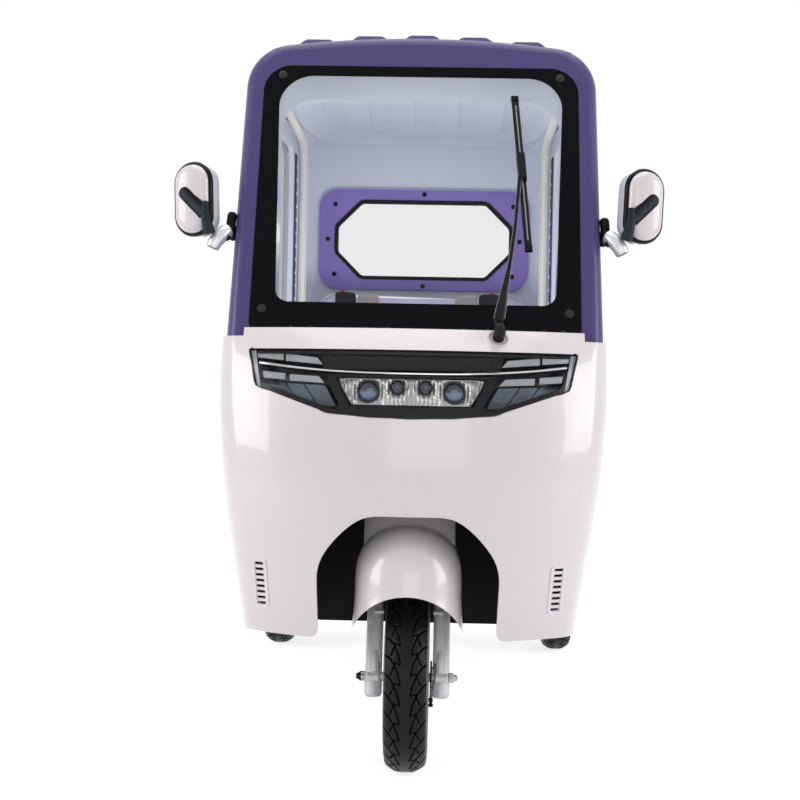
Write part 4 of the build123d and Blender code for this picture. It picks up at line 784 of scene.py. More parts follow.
def lamp_bay():
    """The bay: its bright bezel, the pleated reflector, four projectors and the ticks round two."""
    corners = [(-0.131, 0.848), (-0.164, 0.904), (0.164, 0.904), (0.131, 0.848)]
    path = [in_lamp(x, z, 0.0085) for x, z in rounded(corners, [0.012, 0.01, 0.01, 0.012], 5)]
    bezel = ribbon(bmesh.new(), path, AHEAD, 0.0011, -0.003, 0.0012, closed=True)
    piece("lamp_bay_bezel", bezel, bezel_look)
    front = []
    for v in spread(0, 1, 23):
        z, half = 0.8475 + 0.057 * v, 0.13 + 0.033 * v
        front.append([in_lamp(x, z, bay_depth(x, z)) for x in spread(-half, half, 141)])
    piece("lamp_bay_reflector", slab(bmesh.new(), front, 0.004), reflector)
    for number, (x, z, radius) in enumerate(projectors, 1):
        face = in_lamp(x, z, 0.012)
        bore = radius * 0.99
        outside = radius * 1.16
        ring = [(0.014, outside), (0.003, outside), (0.0, radius * 1.08), (0.0, bore), (0.012, bore)]
        collar = lathe(bmesh.new(), face, BEHIND, ring, 40)
        piece(f"projector_collar_{number}", collar, dark_collar, replaces="lamp_projectors")
        dome = [(0.01, bore)]
        for step in range(9):
            angle = math.radians(80 - 10 * step)
            dome.append((0.006 - 0.009 * math.cos(angle), radius * 0.98 * math.sin(angle) + 0.0002))
        eye = lathe(bmesh.new(), face, BEHIND, dome, 40)
        piece(f"projector_eye_{number}", eye, lens_painted_reflection, replaces="lamp_projectors")
    ticks = bmesh.new()
    for x, z, radius in (projectors[0], projectors[3]):
        for tick in range(15):
            angle = math.radians(130 + 16 * tick)
            cos, sin = radius * math.cos(angle), radius * math.sin(angle)
            ends = [in_lamp(x + part * cos, z + part * sin, 0.0145) for part in (1.24, 1.42)]
            tube(ticks, ends, 0.0008, 6)
    piece("projector_ticks", ticks, white_dot)


def lamp_gasket():
    """The thin black line round the whole lamp; its lower edge sags to the middle between two corners."""
    corners = [(-0.186, 0.828), (-0.356, 0.886), (-0.377, 0.971)]
    corners += [(-x, z) for x, z in reversed(corners)]
    corners += [(0.093, 0.8205), (0.0, 0.818), (-0.093, 0.8205)]
    outline = rounded(corners, [0.07, 0.024, 0.006, 0.006, 0.024, 0.07, 0.3, 0.3, 0.3], 8)
    cowl = surface("front_cowl", "lamp_lens", "scuttle_panel")
    path = [Vector((x, from_front(cowl, x, z), z)) for x, z in outline]
    line = ribbon(bmesh.new(), path, AHEAD, 0.0016, -0.002, 0.001, closed=True)
    piece("lamp_gasket", line, black_plastic)


lamp_bars()
lamp_blade()
lamp_masks()
lamp_facets()
lamp_end_strips()
lamp_bay()
lamp_gasket()


# ---------------- windscreen and wiper
SCREEN_OUT = on_screen(0, 0, 1.0) - on_screen(0, 0)


def screen_caps():
    """The four round covers over the border's fixings."""
    border = surface("windscreen_border", "front_hoop")
    dome = [(-0.001, 0.0108), (0.0012, 0.0108), (0.0024, 0.0098), (0.003, 0.0074), (0.0034, 0.0035)]
    places = [(-0.348, 0.69), (0.348, 0.69), (-0.365, 0.052), (0.365, 0.052)]
    for number, (x, height) in enumerate(places, 1):
        face = (touched(border, [on_screen(x, height, 0.2)], -SCREEN_OUT) or [on_screen(x, height)])[0]
        piece(f"screen_cap_{number}", lathe(bmesh.new(), face, SCREEN_OUT, dome, 28), cap_look)


def screen_clips():
    """The small black clips along the foot of the border."""
    clips = bmesh.new()
    for x in (-0.292, -0.245, -0.117, -0.062, 0.115, 0.172, 0.305, 0.35):
        profile = [(-0.004, 0.0045), (0.0005, 0.0045), (0.0015, 0.003)]
        lathe(clips, on_screen(x, 0.004, 0.004), SCREEN_OUT, profile, 12)
    piece("screen_clips", clips, black_plastic)


def wiper_arm():
    """The tapering arm from its ball head on the scuttle's face to the blade's clip."""
    # X, height along the screen, half width and lift off the screen
    stations = [
        (0.1965, 0.004, 0.0095, 0.027), (0.1985, 0.026, 0.0128, 0.03), (0.2035, 0.055, 0.0115, 0.032),
        (0.2095, 0.09, 0.009, 0.033), (0.2165, 0.13, 0.0062, 0.033), (0.2236, 0.17, 0.0045, 0.032),
        (0.2345, 0.255, 0.004, 0.031), (0.242, 0.345, 0.0042, 0.029), (0.2485, 0.425, 0.0044, 0.029),
    ]
    section = [(-1, -0.005), (-0.92, 0.001), (-0.45, 0.0045), (0.45, 0.0045), (0.92, 0.001), (1, -0.005)]
    rings = []
    for x, height, half, lift in stations:
        rings.append([on_screen(x + half * u, height, lift + v) for u, v in section])
    piece("wiper_arm", loft(bmesh.new(), rings), wiper_black, replaces="wiper")
    # thin bright tubes along the arm's two edges are painted highlights
    edge_highlights = bmesh.new()
    for sign in (-1, 1):
        edge = [on_screen(x + sign * half, height, lift - 0.002) for x, height, half, lift in stations[1:]]
        tube(edge_highlights, edge, 0.0011, 8)
    piece("wiper_edge_highlights", edge_highlights, painted_highlight_metal, replaces="wiper")
    # ball head on its spindle, square to the scuttle's face
    scuttle = surface("scuttle_panel", "front_cowl")
    foot, out = scuttle.ray_cast(Vector((0.192, -3, 1.0015)), BEHIND)[:2]
    out = -out if out.y > 0 else out
    neck = [foot + out * 0.001, foot + out * 0.012, foot + out * 0.021 + Vector((0.001, 0, 0.008))]
    neck += [on_screen(0.196, 0.0, 0.028), on_screen(0.1985, 0.024, 0.03)]
    neck = smooth_path(neck, 5)
    radii = [0.0125, 0.0135, 0.0138, 0.0138, 0.0136, *[0.0134] * 6, 0.0128, 0.012, 0.0112, 0.0105]
    radii += [0.0098] * (len(neck) - len(radii))
    piece("wiper_head", tube(bmesh.new(), neck, radii, 20), wiper_black, replaces="wiper")
    ring = [(-0.002, 0.0255), (0.0008, 0.0255), (0.003, 0.0238), (0.0034, 0.0222), (0.0022, 0.02)]
    ring += [(0.0008, 0.0175), (0.0008, 0.013), (0.006, 0.0125)]
    piece("wiper_boss", lathe(bmesh.new(), foot, out, ring, 36), boss_white)


def along_blade(t, side, lift):
    """A point of the wiper's blade, t being 0 at its lower end and 1 at its top."""
    (low_x, low), (top_x, top) = (0.269, 0.21), (0.2345, 0.628)
    bow = 0.004 * (1 - (2 * t - 1) ** 2)
    return on_screen(low_x + (top_x - low_x) * t + side, low + (top - low) * t, lift + bow)


def wiper_blade():
    """The flat blade with a bright strip along its back as a painted highlight, rubber lip, end caps and
    clip.
    """
    for name, material, half, low, high, start, end, count in (
        ("blade", wiper_black, 0.0092, 0.008, 0.0145, 0.0, 1.0, 24),
        # the bright strip along the blade's back is a painted highlight
        ("highlight_strip", painted_highlight_metal, 0.0024, 0.012, 0.016, 0.06, 0.94, 24),
        ("lip", rubber, 0.0016, 0.0015, 0.0085, 0.0, 1.0, 24),
        ("end_1", gloss_black, 0.01, 0.006, 0.0165, -0.006, 0.03, 5),
        ("end_2", gloss_black, 0.01, 0.006, 0.0165, 0.975, 1.004, 5),
        ("clip", wiper_black, 0.0105, 0.007, 0.033, 0.44, 0.6, 6),
    ):
        edge = high - 0.0015
        section = [(-1, low), (-0.9, edge), (-0.45, high), (0.45, high), (0.9, edge), (1, low)]
        rings = [[along_blade(t, half * u, v) for u, v in section] for t in spread(start, end, count)]
        piece(f"wiper_{name}", loft(bmesh.new(), rings), material, replaces="wiper")


screen_caps()
screen_clips()
wiper_arm()
wiper_blade()

# ---------------- mirrors
MIRROR_CENTRE = Vector((0.548, aft(0.166), 1.3405))
MIRROR_YAW = math.radians(22.0)
MIRROR_LEAN = math.radians(2.5)


def on_mirror(side, u, v, depth):
    """A place on a mirror's head: u outwards, v up, depth backwards."""
    lean_u = u * math.cos(MIRROR_LEAN) + v * math.sin(MIRROR_LEAN)
    lean_v = -u * math.sin(MIRROR_LEAN) + v * math.cos(MIRROR_LEAN)
    x = lean_u * math.cos(MIRROR_YAW) - depth * math.sin(MIRROR_YAW)
    y = lean_u * math.sin(MIRROR_YAW) + depth * math.cos(MIRROR_YAW)
    return Vector((side * (MIRROR_CENTRE.x + x), MIRROR_CENTRE.y + y, MIRROR_CENTRE.z + lean_v))


def mirror_head(side, end):
    """White cap, black seam, bright back shell and silvered glass; each station is (inset, depth)."""
    cap = [(0.033, -0.0285), (0.024, -0.0265), (0.0165, -0.0225), (0.0105, -0.0165), (0.008, -0.011)]
    cap += [(0.0078, -0.006)]
    seam = [(0.0085, -0.0085), (0.005, -0.0095), (0.0018, -0.007), (0.0, -0.002), (0.0006, 0.003)]
    shell = [(0.0006, -0.001), (0.0002, 0.018), (0.0012, 0.032), (0.0045, 0.039), (0.0085, 0.0415)]
    face = [(0.0095, 0.04), (0.0095, 0.0422), (0.011, 0.0428)]
    for name, stations, material in (
        ("cap", cap, cap_white),
        ("seam", seam, gloss_black),
        ("shell", shell, shell_silver),
        ("glass", face, chrome),
    ):
        rings = []
        for inset, depth in stations:
            # rounder outside than towards the cab
            radii = [0.05 - inset, 0.053 - inset, 0.053 - inset, 0.0525 - inset]
            outline = rounded(oblong(0.0535 - inset, inset - 0.092, 0.092 - inset), radii, 12)
            rings.append([on_mirror(side, u, v, depth) for u, v in outline])
        piece(f"mirror_{name}_{end}", loft(bmesh.new(), rings), material, replaces="mirror_heads")


def mirror_arm(side, end):
    """The black bar let into the cap with a wider black tube round it as a painted shadow, its stem, and the
    bright arm to the foot on the cab's corner.
    """
    up = on_mirror(side, 0, 0, -1.0) - on_mirror(side, 0, 0, 0)
    made = []
    for name, radius, depth, material in (
        # a wider black tube behind the bar shows round it as a painted shadow of its recess
        ("bar_shadow_outline", 0.018, -0.0245, gloss_black),
        ("bar", 0.0105, -0.0295, arm_black),
    ):
        bar = [(0.01, 0.012), (-0.006, -0.004), (-0.022, -0.02), (-0.042, -0.039)]
        path = smooth_path([on_mirror(side, u, v, depth) for u, v in bar], 6)
        lead = (path[0] - path[1]).normalized() * radius
        rounding = [(0.96, 0.28), (0.8, 0.6), (0.5, 0.866)]
        radii = [radius * part for _, part in rounding] + [radius] * len(path)
        path = [path[0] + lead * step for step, _ in rounding] + path
        made.append((name, tube(bmesh.new(), path, radii, 24, flat=0.5, up=up), material))
    stem = [(-0.0445, -0.012, -0.022), (-0.045, -0.038, -0.026), (-0.048, -0.065, -0.022)]
    stem += [(-0.05, -0.088, -0.014)]
    path = smooth_path([on_mirror(side, *place) for place in stem], 5)
    radii = [0.0085 + 0.0075 * t for t in spread(0, 1, len(path))]
    made.append(("stem", tube(bmesh.new(), path, radii, 24, flat=0.8, up=up), arm_black))
    arm = [(0.4985, 0.148, 1.2215), (0.49, 0.15, 1.238), (0.4775, 0.157, 1.2545), (0.464, 0.168, 1.265)]
    path = route(side, arm, 6)
    radii = [0.0158 + 0.0034 * math.sin(2.4 * t) for t in spread(0, 1, len(path))]
    made.append(("arm", tube(bmesh.new(), path, radii, 28), shell_bright))
    plug = [(-0.002, 0.0138), (0.0008, 0.0138), (0.0012, 0.0115)]
    made.append(("plug", lathe(bmesh.new(), path[0], path[0] - path[1], plug, 28), gloss_black))
    foot = [(0.4545, 0.18, 1.312), (0.456, 0.176, 1.298), (0.457, 0.172, 1.278)]
    foot += [(0.454, 0.176, 1.258), (0.449, 0.182, 1.244)]
    path = route(side, foot, 5)
    radii = [0.005, 0.0085, 0.0105, *[0.0118] * (len(path) - 6), 0.0105, 0.0085, 0.005]
    made.append(("foot", tube(bmesh.new(), path, radii, 20, up=AHEAD), gloss_black))
    knob = [(-0.006, 0.0078), (0.0005, 0.0078), (0.001, 0.006), (-0.002, 0.0045)]
    place = Vector((side * 0.465, aft(0.1495), 1.247))
    made.append(("knob", lathe(bmesh.new(), place, (side * 0.55, -1, 0.15), knob, 24), gloss_black))
    for name, bm, material in made:
        piece(f"mirror_{name}_{end}", bm, material, replaces="mirror_arms")


for side, end in SIDES:
    mirror_head(side, end)
    mirror_arm(side, end)

# ---------------- front of the body
cowl_tree = surface("front_cowl")


def on_cowl(x, z):
    """A point on the cowl's front face and its outward direction, or None in an opening."""
    place, normal = cowl_tree.ray_cast(Vector((x, -3, z)), BEHIND)[:2]
    if place is None:
        return None
    return place, -normal if normal.y > 0 else normal


def beside_opening(x, z):
    """The cowl's face at X and Z, or the nearest farther out where that lies in an opening."""
    for step in range(30):
        spot = on_cowl(x + math.copysign(0.001 * step, x), z)
        if spot:
            return spot
    return None


def vents():
    """White rounded frames round the air slots, and the black behind them."""
    low, high = 0.3835, 0.4915
    low_x, lean, half = 0.3295, 0.0075, 0.0145
    high_x = low_x + lean
    corners = [(low_x - half, low), (low_x + half, low), (high_x + half, high), (high_x - half, high)]
    for side, end in SIDES:
        spots = [beside_opening(side * x, z) for x, z in rounded(corners, 0.0085, 6)]
        path, outs = [place for place, _ in spots], [out for _, out in spots]
        frame_band = ribbon(bmesh.new(), path, outs, 0.0022, -0.001, 0.0026, closed=True)
        piece(f"vent_frame_{end}", frame_band, frame_white)
        front = []
        for z in spread(low + 0.003, high - 0.003, 12):
            middle = low_x + lean * (z - low) / (high - low)
            y = from_front(cowl_tree, side * (middle + 0.022), z) + 0.016
            front.append([Vector((side * x, y, z)) for x in (middle - 0.013, middle, middle + 0.013)])
        piece(f"vent_back_{end}", slab(bmesh.new(), front, 0.003), liner_plastic)


def arch_lip():
    """The thin moulded edge round the wheel arch, found by feeling for the opening's rim."""
    centre_z = 0.42
    lip_half = 0.0026
    path, outs = [], []
    for angle in spread(math.radians(-12), math.radians(192), 97):
        out_x, out_z = math.cos(angle), math.sin(angle)
        inner, outer = 0.1, 0.3
        for _ in range(24):
            middle = (inner + outer) / 2
            spot = on_cowl(out_x * middle, centre_z + out_z * middle)
            # what lies this far back is the body behind the opening
            if spot and spot[0].y < aft(0.1):
                outer = middle
            else:
                inner = middle
        place, out = on_cowl(out_x * (outer + lip_half), centre_z + out_z * (outer + lip_half))
        path.append(place)
        outs.append(out)
    piece("arch_lip", ribbon(bmesh.new(), path, outs, lip_half, -0.0015, 0.0013), white_paint)


vents()
arch_lip()


# ---------------- cab: rear window and doors
def rear_window_trim():
    """The black gasket round the rear glass and the eight screws of its frame."""
    wall_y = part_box("rear_window_frame")[0][1]
    middle_z = 1.372
    half_x, half_z, cut = 0.28, 0.122, 0.08
    flat_x, flat_z = half_x - cut, half_z - cut
    corners = [(-flat_x, -half_z), (flat_x, -half_z), (half_x, -flat_z), (half_x, flat_z)]
    corners += [(-x, -z) for x, z in corners]
    path = [Vector((x, wall_y, middle_z + z)) for x, z in rounded(corners, 0.026, 6)]
    gasket = ribbon(bmesh.new(), path, AHEAD, 0.0068, -0.012, 0.0035, closed=True)
    piece("rear_gasket", gasket, rubber)
    wall = surface("rear_window_frame")
    places = [(0, 0.147), (0, -0.147), (0.307, 0), (-0.307, 0)]
    places += [(x, z) for x in (-0.285, 0.285) for z in (-0.112, 0.112)]
    for number, (x, z) in enumerate(places, 1):
        place = (x, from_front(wall, x, middle_z + z, aft(1.0)), middle_z + z)
        piece(f"rear_frame_screw_{number}", screw(bmesh.new(), place, AHEAD, 0.0075, 0.003), gloss_black)


def door_seal(side, end):
    """The cream seal up the rear jamb and forward under the roof, with its thin lip."""
    run = [
        (0.374, 1.126, 0.985), (0.374, 1.126, 1.2), (0.374, 1.126, 1.42), (0.3735, 1.124, 1.56),
        (0.372, 1.085, 1.622), (0.37, 0.98, 1.64), (0.367, 0.76, 1.64), (0.364, 0.56, 1.636),
        (0.361, 0.44, 1.628),
    ]
    path = route(side, run, 6)
    piece(f"door_seal_{end}", tube(bmesh.new(), path, 0.0118, 14), cream_rubber)
    inner = [point + Vector((-side * 0.012, -0.006, -0.003)) for point in path]
    piece(f"door_seal_lip_{end}", tube(bmesh.new(), inner, 0.0024, 8), cream_rubber)


def door_strip(side, end):
    """The dark strip with pale rivets up the inside of a door's own frame."""
    door = surface(f"{end}_door_frame")
    proud = 0.0055
    rings = []
    rivets = bmesh.new()
    for number, z in enumerate(spread(1.02, 1.6, 30)):
        hits = touched(door, [(0, aft(1.04), z)], Vector((side, 0, 0)))
        x = abs(hits[0].x) if hits else 0.389
        section = [(x + 0.001, 1.022), (x - 0.005, 1.024), (x - proud, 1.05), (x + 0.001, 1.052)]
        rings.append([Vector((side * u, aft(distance), z)) for u, distance in section])
        if number % 2:
            head = [(-0.001, 0.0045), (0.0008, 0.0045), (0.0018, 0.0028)]
            lathe(rivets, (side * (x - proud), aft(1.034), z), (-side, -0.35, 0), head, 12)
    piece(f"door_strip_{end}", loft(bmesh.new(), rings), dark_violet, f"{end}_door")
    piece(f"door_rivets_{end}", rivets, white_dot, f"{end}_door")


rear_window_trim()
for side, end in SIDES:
    door_seal(side, end)
    door_strip(side, end)


# ---------------- seats
PAD_SHRINK = 0.01  # how far a pad starts inside its solid
PAD_SWELL = 0.024  # the farthest that the pressure may move it
PAD_MARGIN = 0.0008  # what it keeps from its solid's box
PAD_FRAMES = 20


def current_mesh(made):
    """A new mesh with the object's modifiers applied."""
    return bpy.data.meshes.new_from_object(made.evaluated_get(bpy.context.evaluated_depsgraph_get()))


def inflate(made, low, high):
    """Blows an object up by cloth pressure within the box from low to high."""
    cloth = made.modifiers.new("cloth", "CLOTH")
    cloth.settings.use_pressure = True
    cloth.settings.uniform_pressure_force = 4.0
    cloth.settings.effector_weights.gravity = 0.0
    cloth.settings.quality = 4
    cloth.point_cache.frame_start = 1
    cloth.point_cache.frame_end = PAD_FRAMES
    for number in range(1, PAD_FRAMES + 1):
        scene.frame_set(number)
    swollen = made.evaluated_get(bpy.context.evaluated_depsgraph_get()).to_mesh()
    for vertex, moved in zip(made.data.vertices, swollen.vertices):
        step = moved.co - vertex.co
        if step.length > PAD_SWELL:
            step = step * (PAD_SWELL / step.length)
        limits = zip(vertex.co + step, low, high)
        vertex.co = [min(max(value, least + PAD_MARGIN), most - PAD_MARGIN) for value, least, most in limits]
    made.modifiers.clear()
    scene.frame_set(1)


def pad(node):
    """A seat pad swollen from a slightly smaller copy of its solid, and a ray-casting tree of it."""
    low, high = (Vector(corner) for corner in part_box(node))
    middle, size = (low + high) / 2, high - low
    mesh = nodes[node].data.copy()
    for vertex in mesh.vertices:
        offset = vertex.co - middle
        vertex.co = middle + Vector([o * (1 - 2 * PAD_SHRINK / s) for o, s in zip(offset, size)])
    made = bpy.data.objects.new(f"{node}_pad", mesh)
    scene.collection.objects.link(made)
    remesh = made.modifiers.new("remesh", "REMESH")
    remesh.mode = "VOXEL"
    remesh.voxel_size = 0.0075
    made.data = current_mesh(made)
    made.modifiers.clear()
    inflate(made, low, high)
    divide = made.modifiers.new("divide", "SUBSURF")
    divide.levels = 1
    finished = current_mesh(made)
    made.modifiers.clear()
    made.data = finished
    finished.materials.clear()
    finished.materials.append(seat_vinyl)
    finished.shade_smooth()
    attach(made, "tricycle")
    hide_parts(node)
    return ray_tree(finished)


def cushion_piping(tree):
    """White piping round the cushion's face and two sewn channels along it."""
    low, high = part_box("seat_cushion")
    inset, above = 0.022, 1.2
    middle_x, middle_y = (low[0] + high[0]) / 2, (low[1] + high[1]) / 2
    half_x, half_y = (high[0] - low[0]) / 2 - inset, (high[1] - low[1]) / 2 - inset
    corners = oblong(half_x, -half_y, half_y)
    starts = [(middle_x + x, middle_y + y, above) for x, y in rounded(corners, 0.045, 8)]
    bm = tube(bmesh.new(), touched(tree, starts, DOWN), 0.0034, 10, closed=True)
    for x in (-0.115, 0.115):
        starts = [(x, y, above) for y in spread(low[1] + 0.045, high[1] - 0.045, 30)]
        tube(bm, touched(tree, starts, DOWN), 0.0024, 8)
    piece("seat_cushion_piping", bm, piping)


def backrest_piping(tree):
    """White piping round the backrest's face."""
    low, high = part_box("seat_backrest")
    inset = 0.024
    corners = oblong(0.345 - inset, low[2] + 0.11, high[2] - inset)
    starts = [(x, aft(0.4), z) for x, z in rounded(corners, [0.03, 0.03, 0.062, 0.062], 8)]
    bm = tube(bmesh.new(), touched(tree, starts, BEHIND), 0.0038, 10, closed=True)
    piece("seat_backrest_piping", bm, piping)


cushion_tree = pad("seat_cushion")
backrest_tree = pad("seat_backrest")
cushion_piping(cushion_tree)
backrest_piping(backrest_tree)


# ---------------- handlebar controls
def on_bar(side, x, over=0.0, ahead=0.0):
    """A point out along the handlebar, over it along the steering axis and ahead of it."""
    return on_steering(side * x, HANDLEBAR_ALONG + over, ahead)


def bar_box(side, stations, tall, corner):
    """A rounded box round the bar: stations are (X, half its width), tall is how far it rises above that."""
    rings = []
    for x, half in stations:
        outline = rounded(oblong(half, -half, half + tall), corner, 5)
        rings.append([on_bar(side, x, v, u) for u, v in outline])
    return loft(bmesh.new(), rings)


def controls(side, end):
    """A black switch housing with a red button, the beige cover beside it and the grip's ribs."""
    housing = [(0.158, 0.018), (0.16, 0.0215), (0.172, 0.0235), (0.198, 0.024), (0.208, 0.0225)]
    housing += [(0.21, 0.019)]
    cover = [(0.096, 0.016), (0.099, 0.022), (0.112, 0.0255), (0.14, 0.0265), (0.15, 0.0255)]
    cover += [(0.1525, 0.021)]
    foot, top = on_bar(side, 0.192, 0.0685, 0.006), on_bar(side, 0.192, 1.0685, 0.006)
    button = lathe(bmesh.new(), foot, top - foot, [(0.0, 0.0062), (0.007, 0.0062), (0.0095, 0.0045)], 20)
    for name, bm, material in (
        ("switch_housing", bar_box(side, housing, 0.045, 0.009), black_plastic),
        ("red_button", button, red_plastic),
        ("lever_cover", bar_box(side, cover, 0.038, 0.012), grey_plastic),
    ):
        piece(f"{name}_{end}", bm, material, "steering", replaces="switch_pods")
    ribs = bmesh.new()
    for x in spread(0.226, 0.314, 12):
        rib = [(-0.0022, 0.0148), (-0.001, 0.0163), (0.001, 0.0163), (0.0022, 0.0148)]
        lathe(ribs, on_bar(side, x), (side, 0, 0), rib, 24)
    piece(f"grip_ribs_{end}", ribs, rubber, "steering")


for side, end in SIDES:
    controls(side, end)


# ---------------- tyres, in millimetres until they are made
TYRE_RADIUS = 215.0
# one period of the tread on the left half: (across, in periods along) from end to end of each cut
GROOVES = [
    ((47.0, -0.08), (35.0, 0.18)),
    ((35.0, 0.18), (24.0, 0.55)),
    ((24.0, 0.55), (16.0, 1.02)),
    ((16.0, 1.02), (11.0, 1.55)),
    ((11.0, 1.55), (22.0, 1.46)),
    ((22.0, 1.46), (32.0, 2.02)),
]
PERIODS = 30
PITCH = math.tau * TYRE_RADIUS / PERIODS
CUT_HALF_WIDTH = 1.3
CUT_SLOPE = 0.9
CUT_DEPTH = 3.0
CENTRE_LINE = 5.0  # across to the thin line on each side of the middle
# from shoulder to bead, with the moulded rings of the wall: part of the tyre's width, and radius
WALL = [(0.4935, 180.0), (0.4985, 168.0), (0.4985, 160.0), (0.484, 156.0), (0.482, 154.5), (0.47, 151.0)]
WALL += [(0.44, 146.5), (0.4, 141.5), (0.36, 138.0), (0.345, 134.0), (0.345, 127.4)]


def groove_depth(across, along):
    """How deep the tread is cut at a point."""
    nearest = 9.0
    for start, end in GROOVES:
        first = Vector((start[0], start[1] * PITCH))
        run = Vector((end[0], end[1] * PITCH)) - first
        for turn in (-2, -1, 0, 1):
            offset = Vector((across, along)) - first - Vector((0, turn * PITCH))
            t = min(1.0, max(0.0, offset.dot(run) / run.length_squared))
            nearest = min(nearest, (offset - run * t).length)
    line = 0.6 * max(0.0, 1 - abs(across - CENTRE_LINE) / 1.3)
    return max(line, CUT_DEPTH * (1 - min(1.0, max(0.0, (nearest - CUT_HALF_WIDTH) / CUT_SLOPE))))


def crown_points(width, count):
    """Evenly spaced points of the tyre's section from its middle to the tread's edge."""
    outer = [(0, 214.9), (0.2, 213.6), (0.37, 205), (0.44, 199), (0.47, 193), (0.4935, 180), (0.4985, 163.3)]
    section = smooth_path([Vector((u * width, radius)) for u, radius in outer], 12)
    lengths = [0.0]
    for before, after in zip(section, section[1:]):
        lengths.append(lengths[-1] + (after - before).length)
    tread_end = lengths[next(index for index, point in enumerate(section) if point.x >= 0.469 * width)]
    points = []
    for step in range(count + 1):
        distance = tread_end * step / count
        index = next(i for i in range(1, len(section)) if distance <= lengths[i])
        t = (distance - lengths[index - 1]) / max(1e-6, lengths[index] - lengths[index - 1])
        points.append(section[index - 1].lerp(section[index], t))
    return points


def treaded_tyre(node, body, centre, width, per_period, across_steps):
    """A tyre of the solid's own section with its tread cut in, the grooves' floors darker as painted shade.
    """
    crown = crown_points(width, across_steps)
    wall = [(u * width, radius) for u, radius in WALL]
    period_rows, period_cuts = [], []
    for index in range(per_period):
        along = PITCH * index / per_period
        row, cuts = [], []
        # the right half is the left one's mirror image, half a period on
        for sign, shift in ((-1, PITCH / 2), (1, 0.0)):
            depths = [groove_depth(point.x / width * 100.0, along + shift) for point in crown]
            half = [(sign * point.x, point.y - depth) for point, depth in zip(crown, depths)]
            half += [(sign * x, radius) for x, radius in wall]
            cut = [depth > 1.0 for depth in depths] + [False] * len(wall)
            row = list(reversed(half)) if sign < 0 else row + half[1:]
            cuts = list(reversed(cut)) if sign < 0 else cuts + cut[1:]
        period_rows.append(row)
        period_cuts.append(cuts)
    rings = []
    count = PERIODS * per_period
    for index in range(count):
        sin, cos = math.sin(math.tau * index / count), math.cos(math.tau * index / count)
        ring = period_rows[index % per_period]
        rings.append([centre + Vector((x, -radius * sin, radius * cos)) / 1000 for x, radius in ring])
    bm = bmesh.new()
    deep = set()
    for index, verts in enumerate(skin(bm, rings, close_rows=True, close_columns=True)):
        deep.update(vertex for vertex, cut in zip(verts, period_cuts[index % per_period]) if cut)
    # faces in the grooves take the darker rubber as painted shade
    for face in bm.faces:
        if sum(vertex in deep for vertex in face.verts) >= 3:
            face.material_index = 1
    made = piece(f"{node}_treaded", bm, tyre_rubber, body, replaces=node, sharp=50)
    made.data.materials.append(groove_painted_shade)


front_centre = Vector((0, FRONT_AXLE_Y, AXLE_Z))
rear_centres = {end: Vector((side * REAR_TRACK / 2, aft(WHEELBASE), AXLE_Z)) for side, end in SIDES}


# ---------------- fork
def on_leg(x, along, ahead=0.0):
    """A point along the fork's legs, and ahead of their middle line."""
    return on_steering(x, along, FORK_OFFSET + ahead)


def fork_leg(side, end):
    """The strut with its lug and tab, the axle's clamp and the cup at the foot of one leg."""
    forward = on_leg(0, 0, 1) - on_leg(0, 0, 0)
    strut_x, leg_x = side * 0.069, side * 0.0785
    out = (side, 0, 0)
    path = [on_leg(strut_x, along, 0.0165) for along in (0.03, 0.06, 0.1, 0.15, 0.21)]
    bm = tube(bmesh.new(), path, 0.0095, 16, flat=0.7, up=forward)
    lug = [(-0.0115, 0.0045), (-0.0105, 0.0056), (0.0105, 0.0056), (0.0115, 0.0045)]
    lathe(bm, on_leg(strut_x, 0.148, 0.0225), out, lug, 20)
    tab = [on_leg(side * 0.0745, along, 0.02) for along in (0.008, 0.024, 0.046, 0.056)]
    tube(bm, tab, [0.0085, 0.0085, 0.0085, 0.006], 16, flat=0.8, up=forward)
    piece(f"fork_strut_{end}", bm, cast_alloy, "steering")
    clamp = [(-0.0135, 0.0095), (-0.012, 0.0115), (0.013, 0.0115), (0.0145, 0.01)]
    bm = lathe(bmesh.new(), (leg_x, aft(-0.0125), AXLE_Z), out, clamp, 28)
    piece(f"axle_clamp_{end}", bm, cast_white, "steering")
    foot = on_leg(leg_x, -0.01)
    cup = [(0.0, 0.0196), (0.002, 0.0206), (0.028, 0.0206), (0.0335, 0.0188), (0.0365, 0.015)]
    bm = lathe(bmesh.new(), foot, foot - on_leg(leg_x, 0.99), cup, 32)
    piece(f"leg_cup_{end}", bm, cast_white, "steering")


def axle_ends():
    """A knurled knob on one end of the front axle and a copper-coloured nut on the other."""
    radius = 0.0102
    profile = [(0, 0.0085), (0.001, radius), (0.012, radius), (0.014, 0.0085), (0.0195, 0.0062)]
    profile += [(0.0205, 0.0048)]
    knob = lathe(bmesh.new(), (-0.0985, FRONT_AXLE_Y, AXLE_Z), (-1, 0, 0), profile, 24)
    for x, y, z in circle(front_centre, -DOWN, BEHIND, radius, 12):
        tube(knob, [Vector((-0.0995, y, z)), Vector((-0.11, y, z))], 0.0012, 6)
    piece("axle_knob", knob, gloss_black, "steering")
    nut = bmesh.new()
    for x, profile, sides in (
        (0.096, [(0, 0.0118), (0.002, 0.0118)], 20),
        (0.098, [(0, 0.0095), (0.008, 0.0095), (0.0095, 0.0082)], 6),
        (0.1075, [(0, 0.0058), (0.008, 0.0056), (0.009, 0.0046)], 16),
    ):
        lathe(nut, (x, FRONT_AXLE_Y, AXLE_Z), (1, 0, 0), profile, sides)
    piece("axle_nut", nut, copper, "steering")


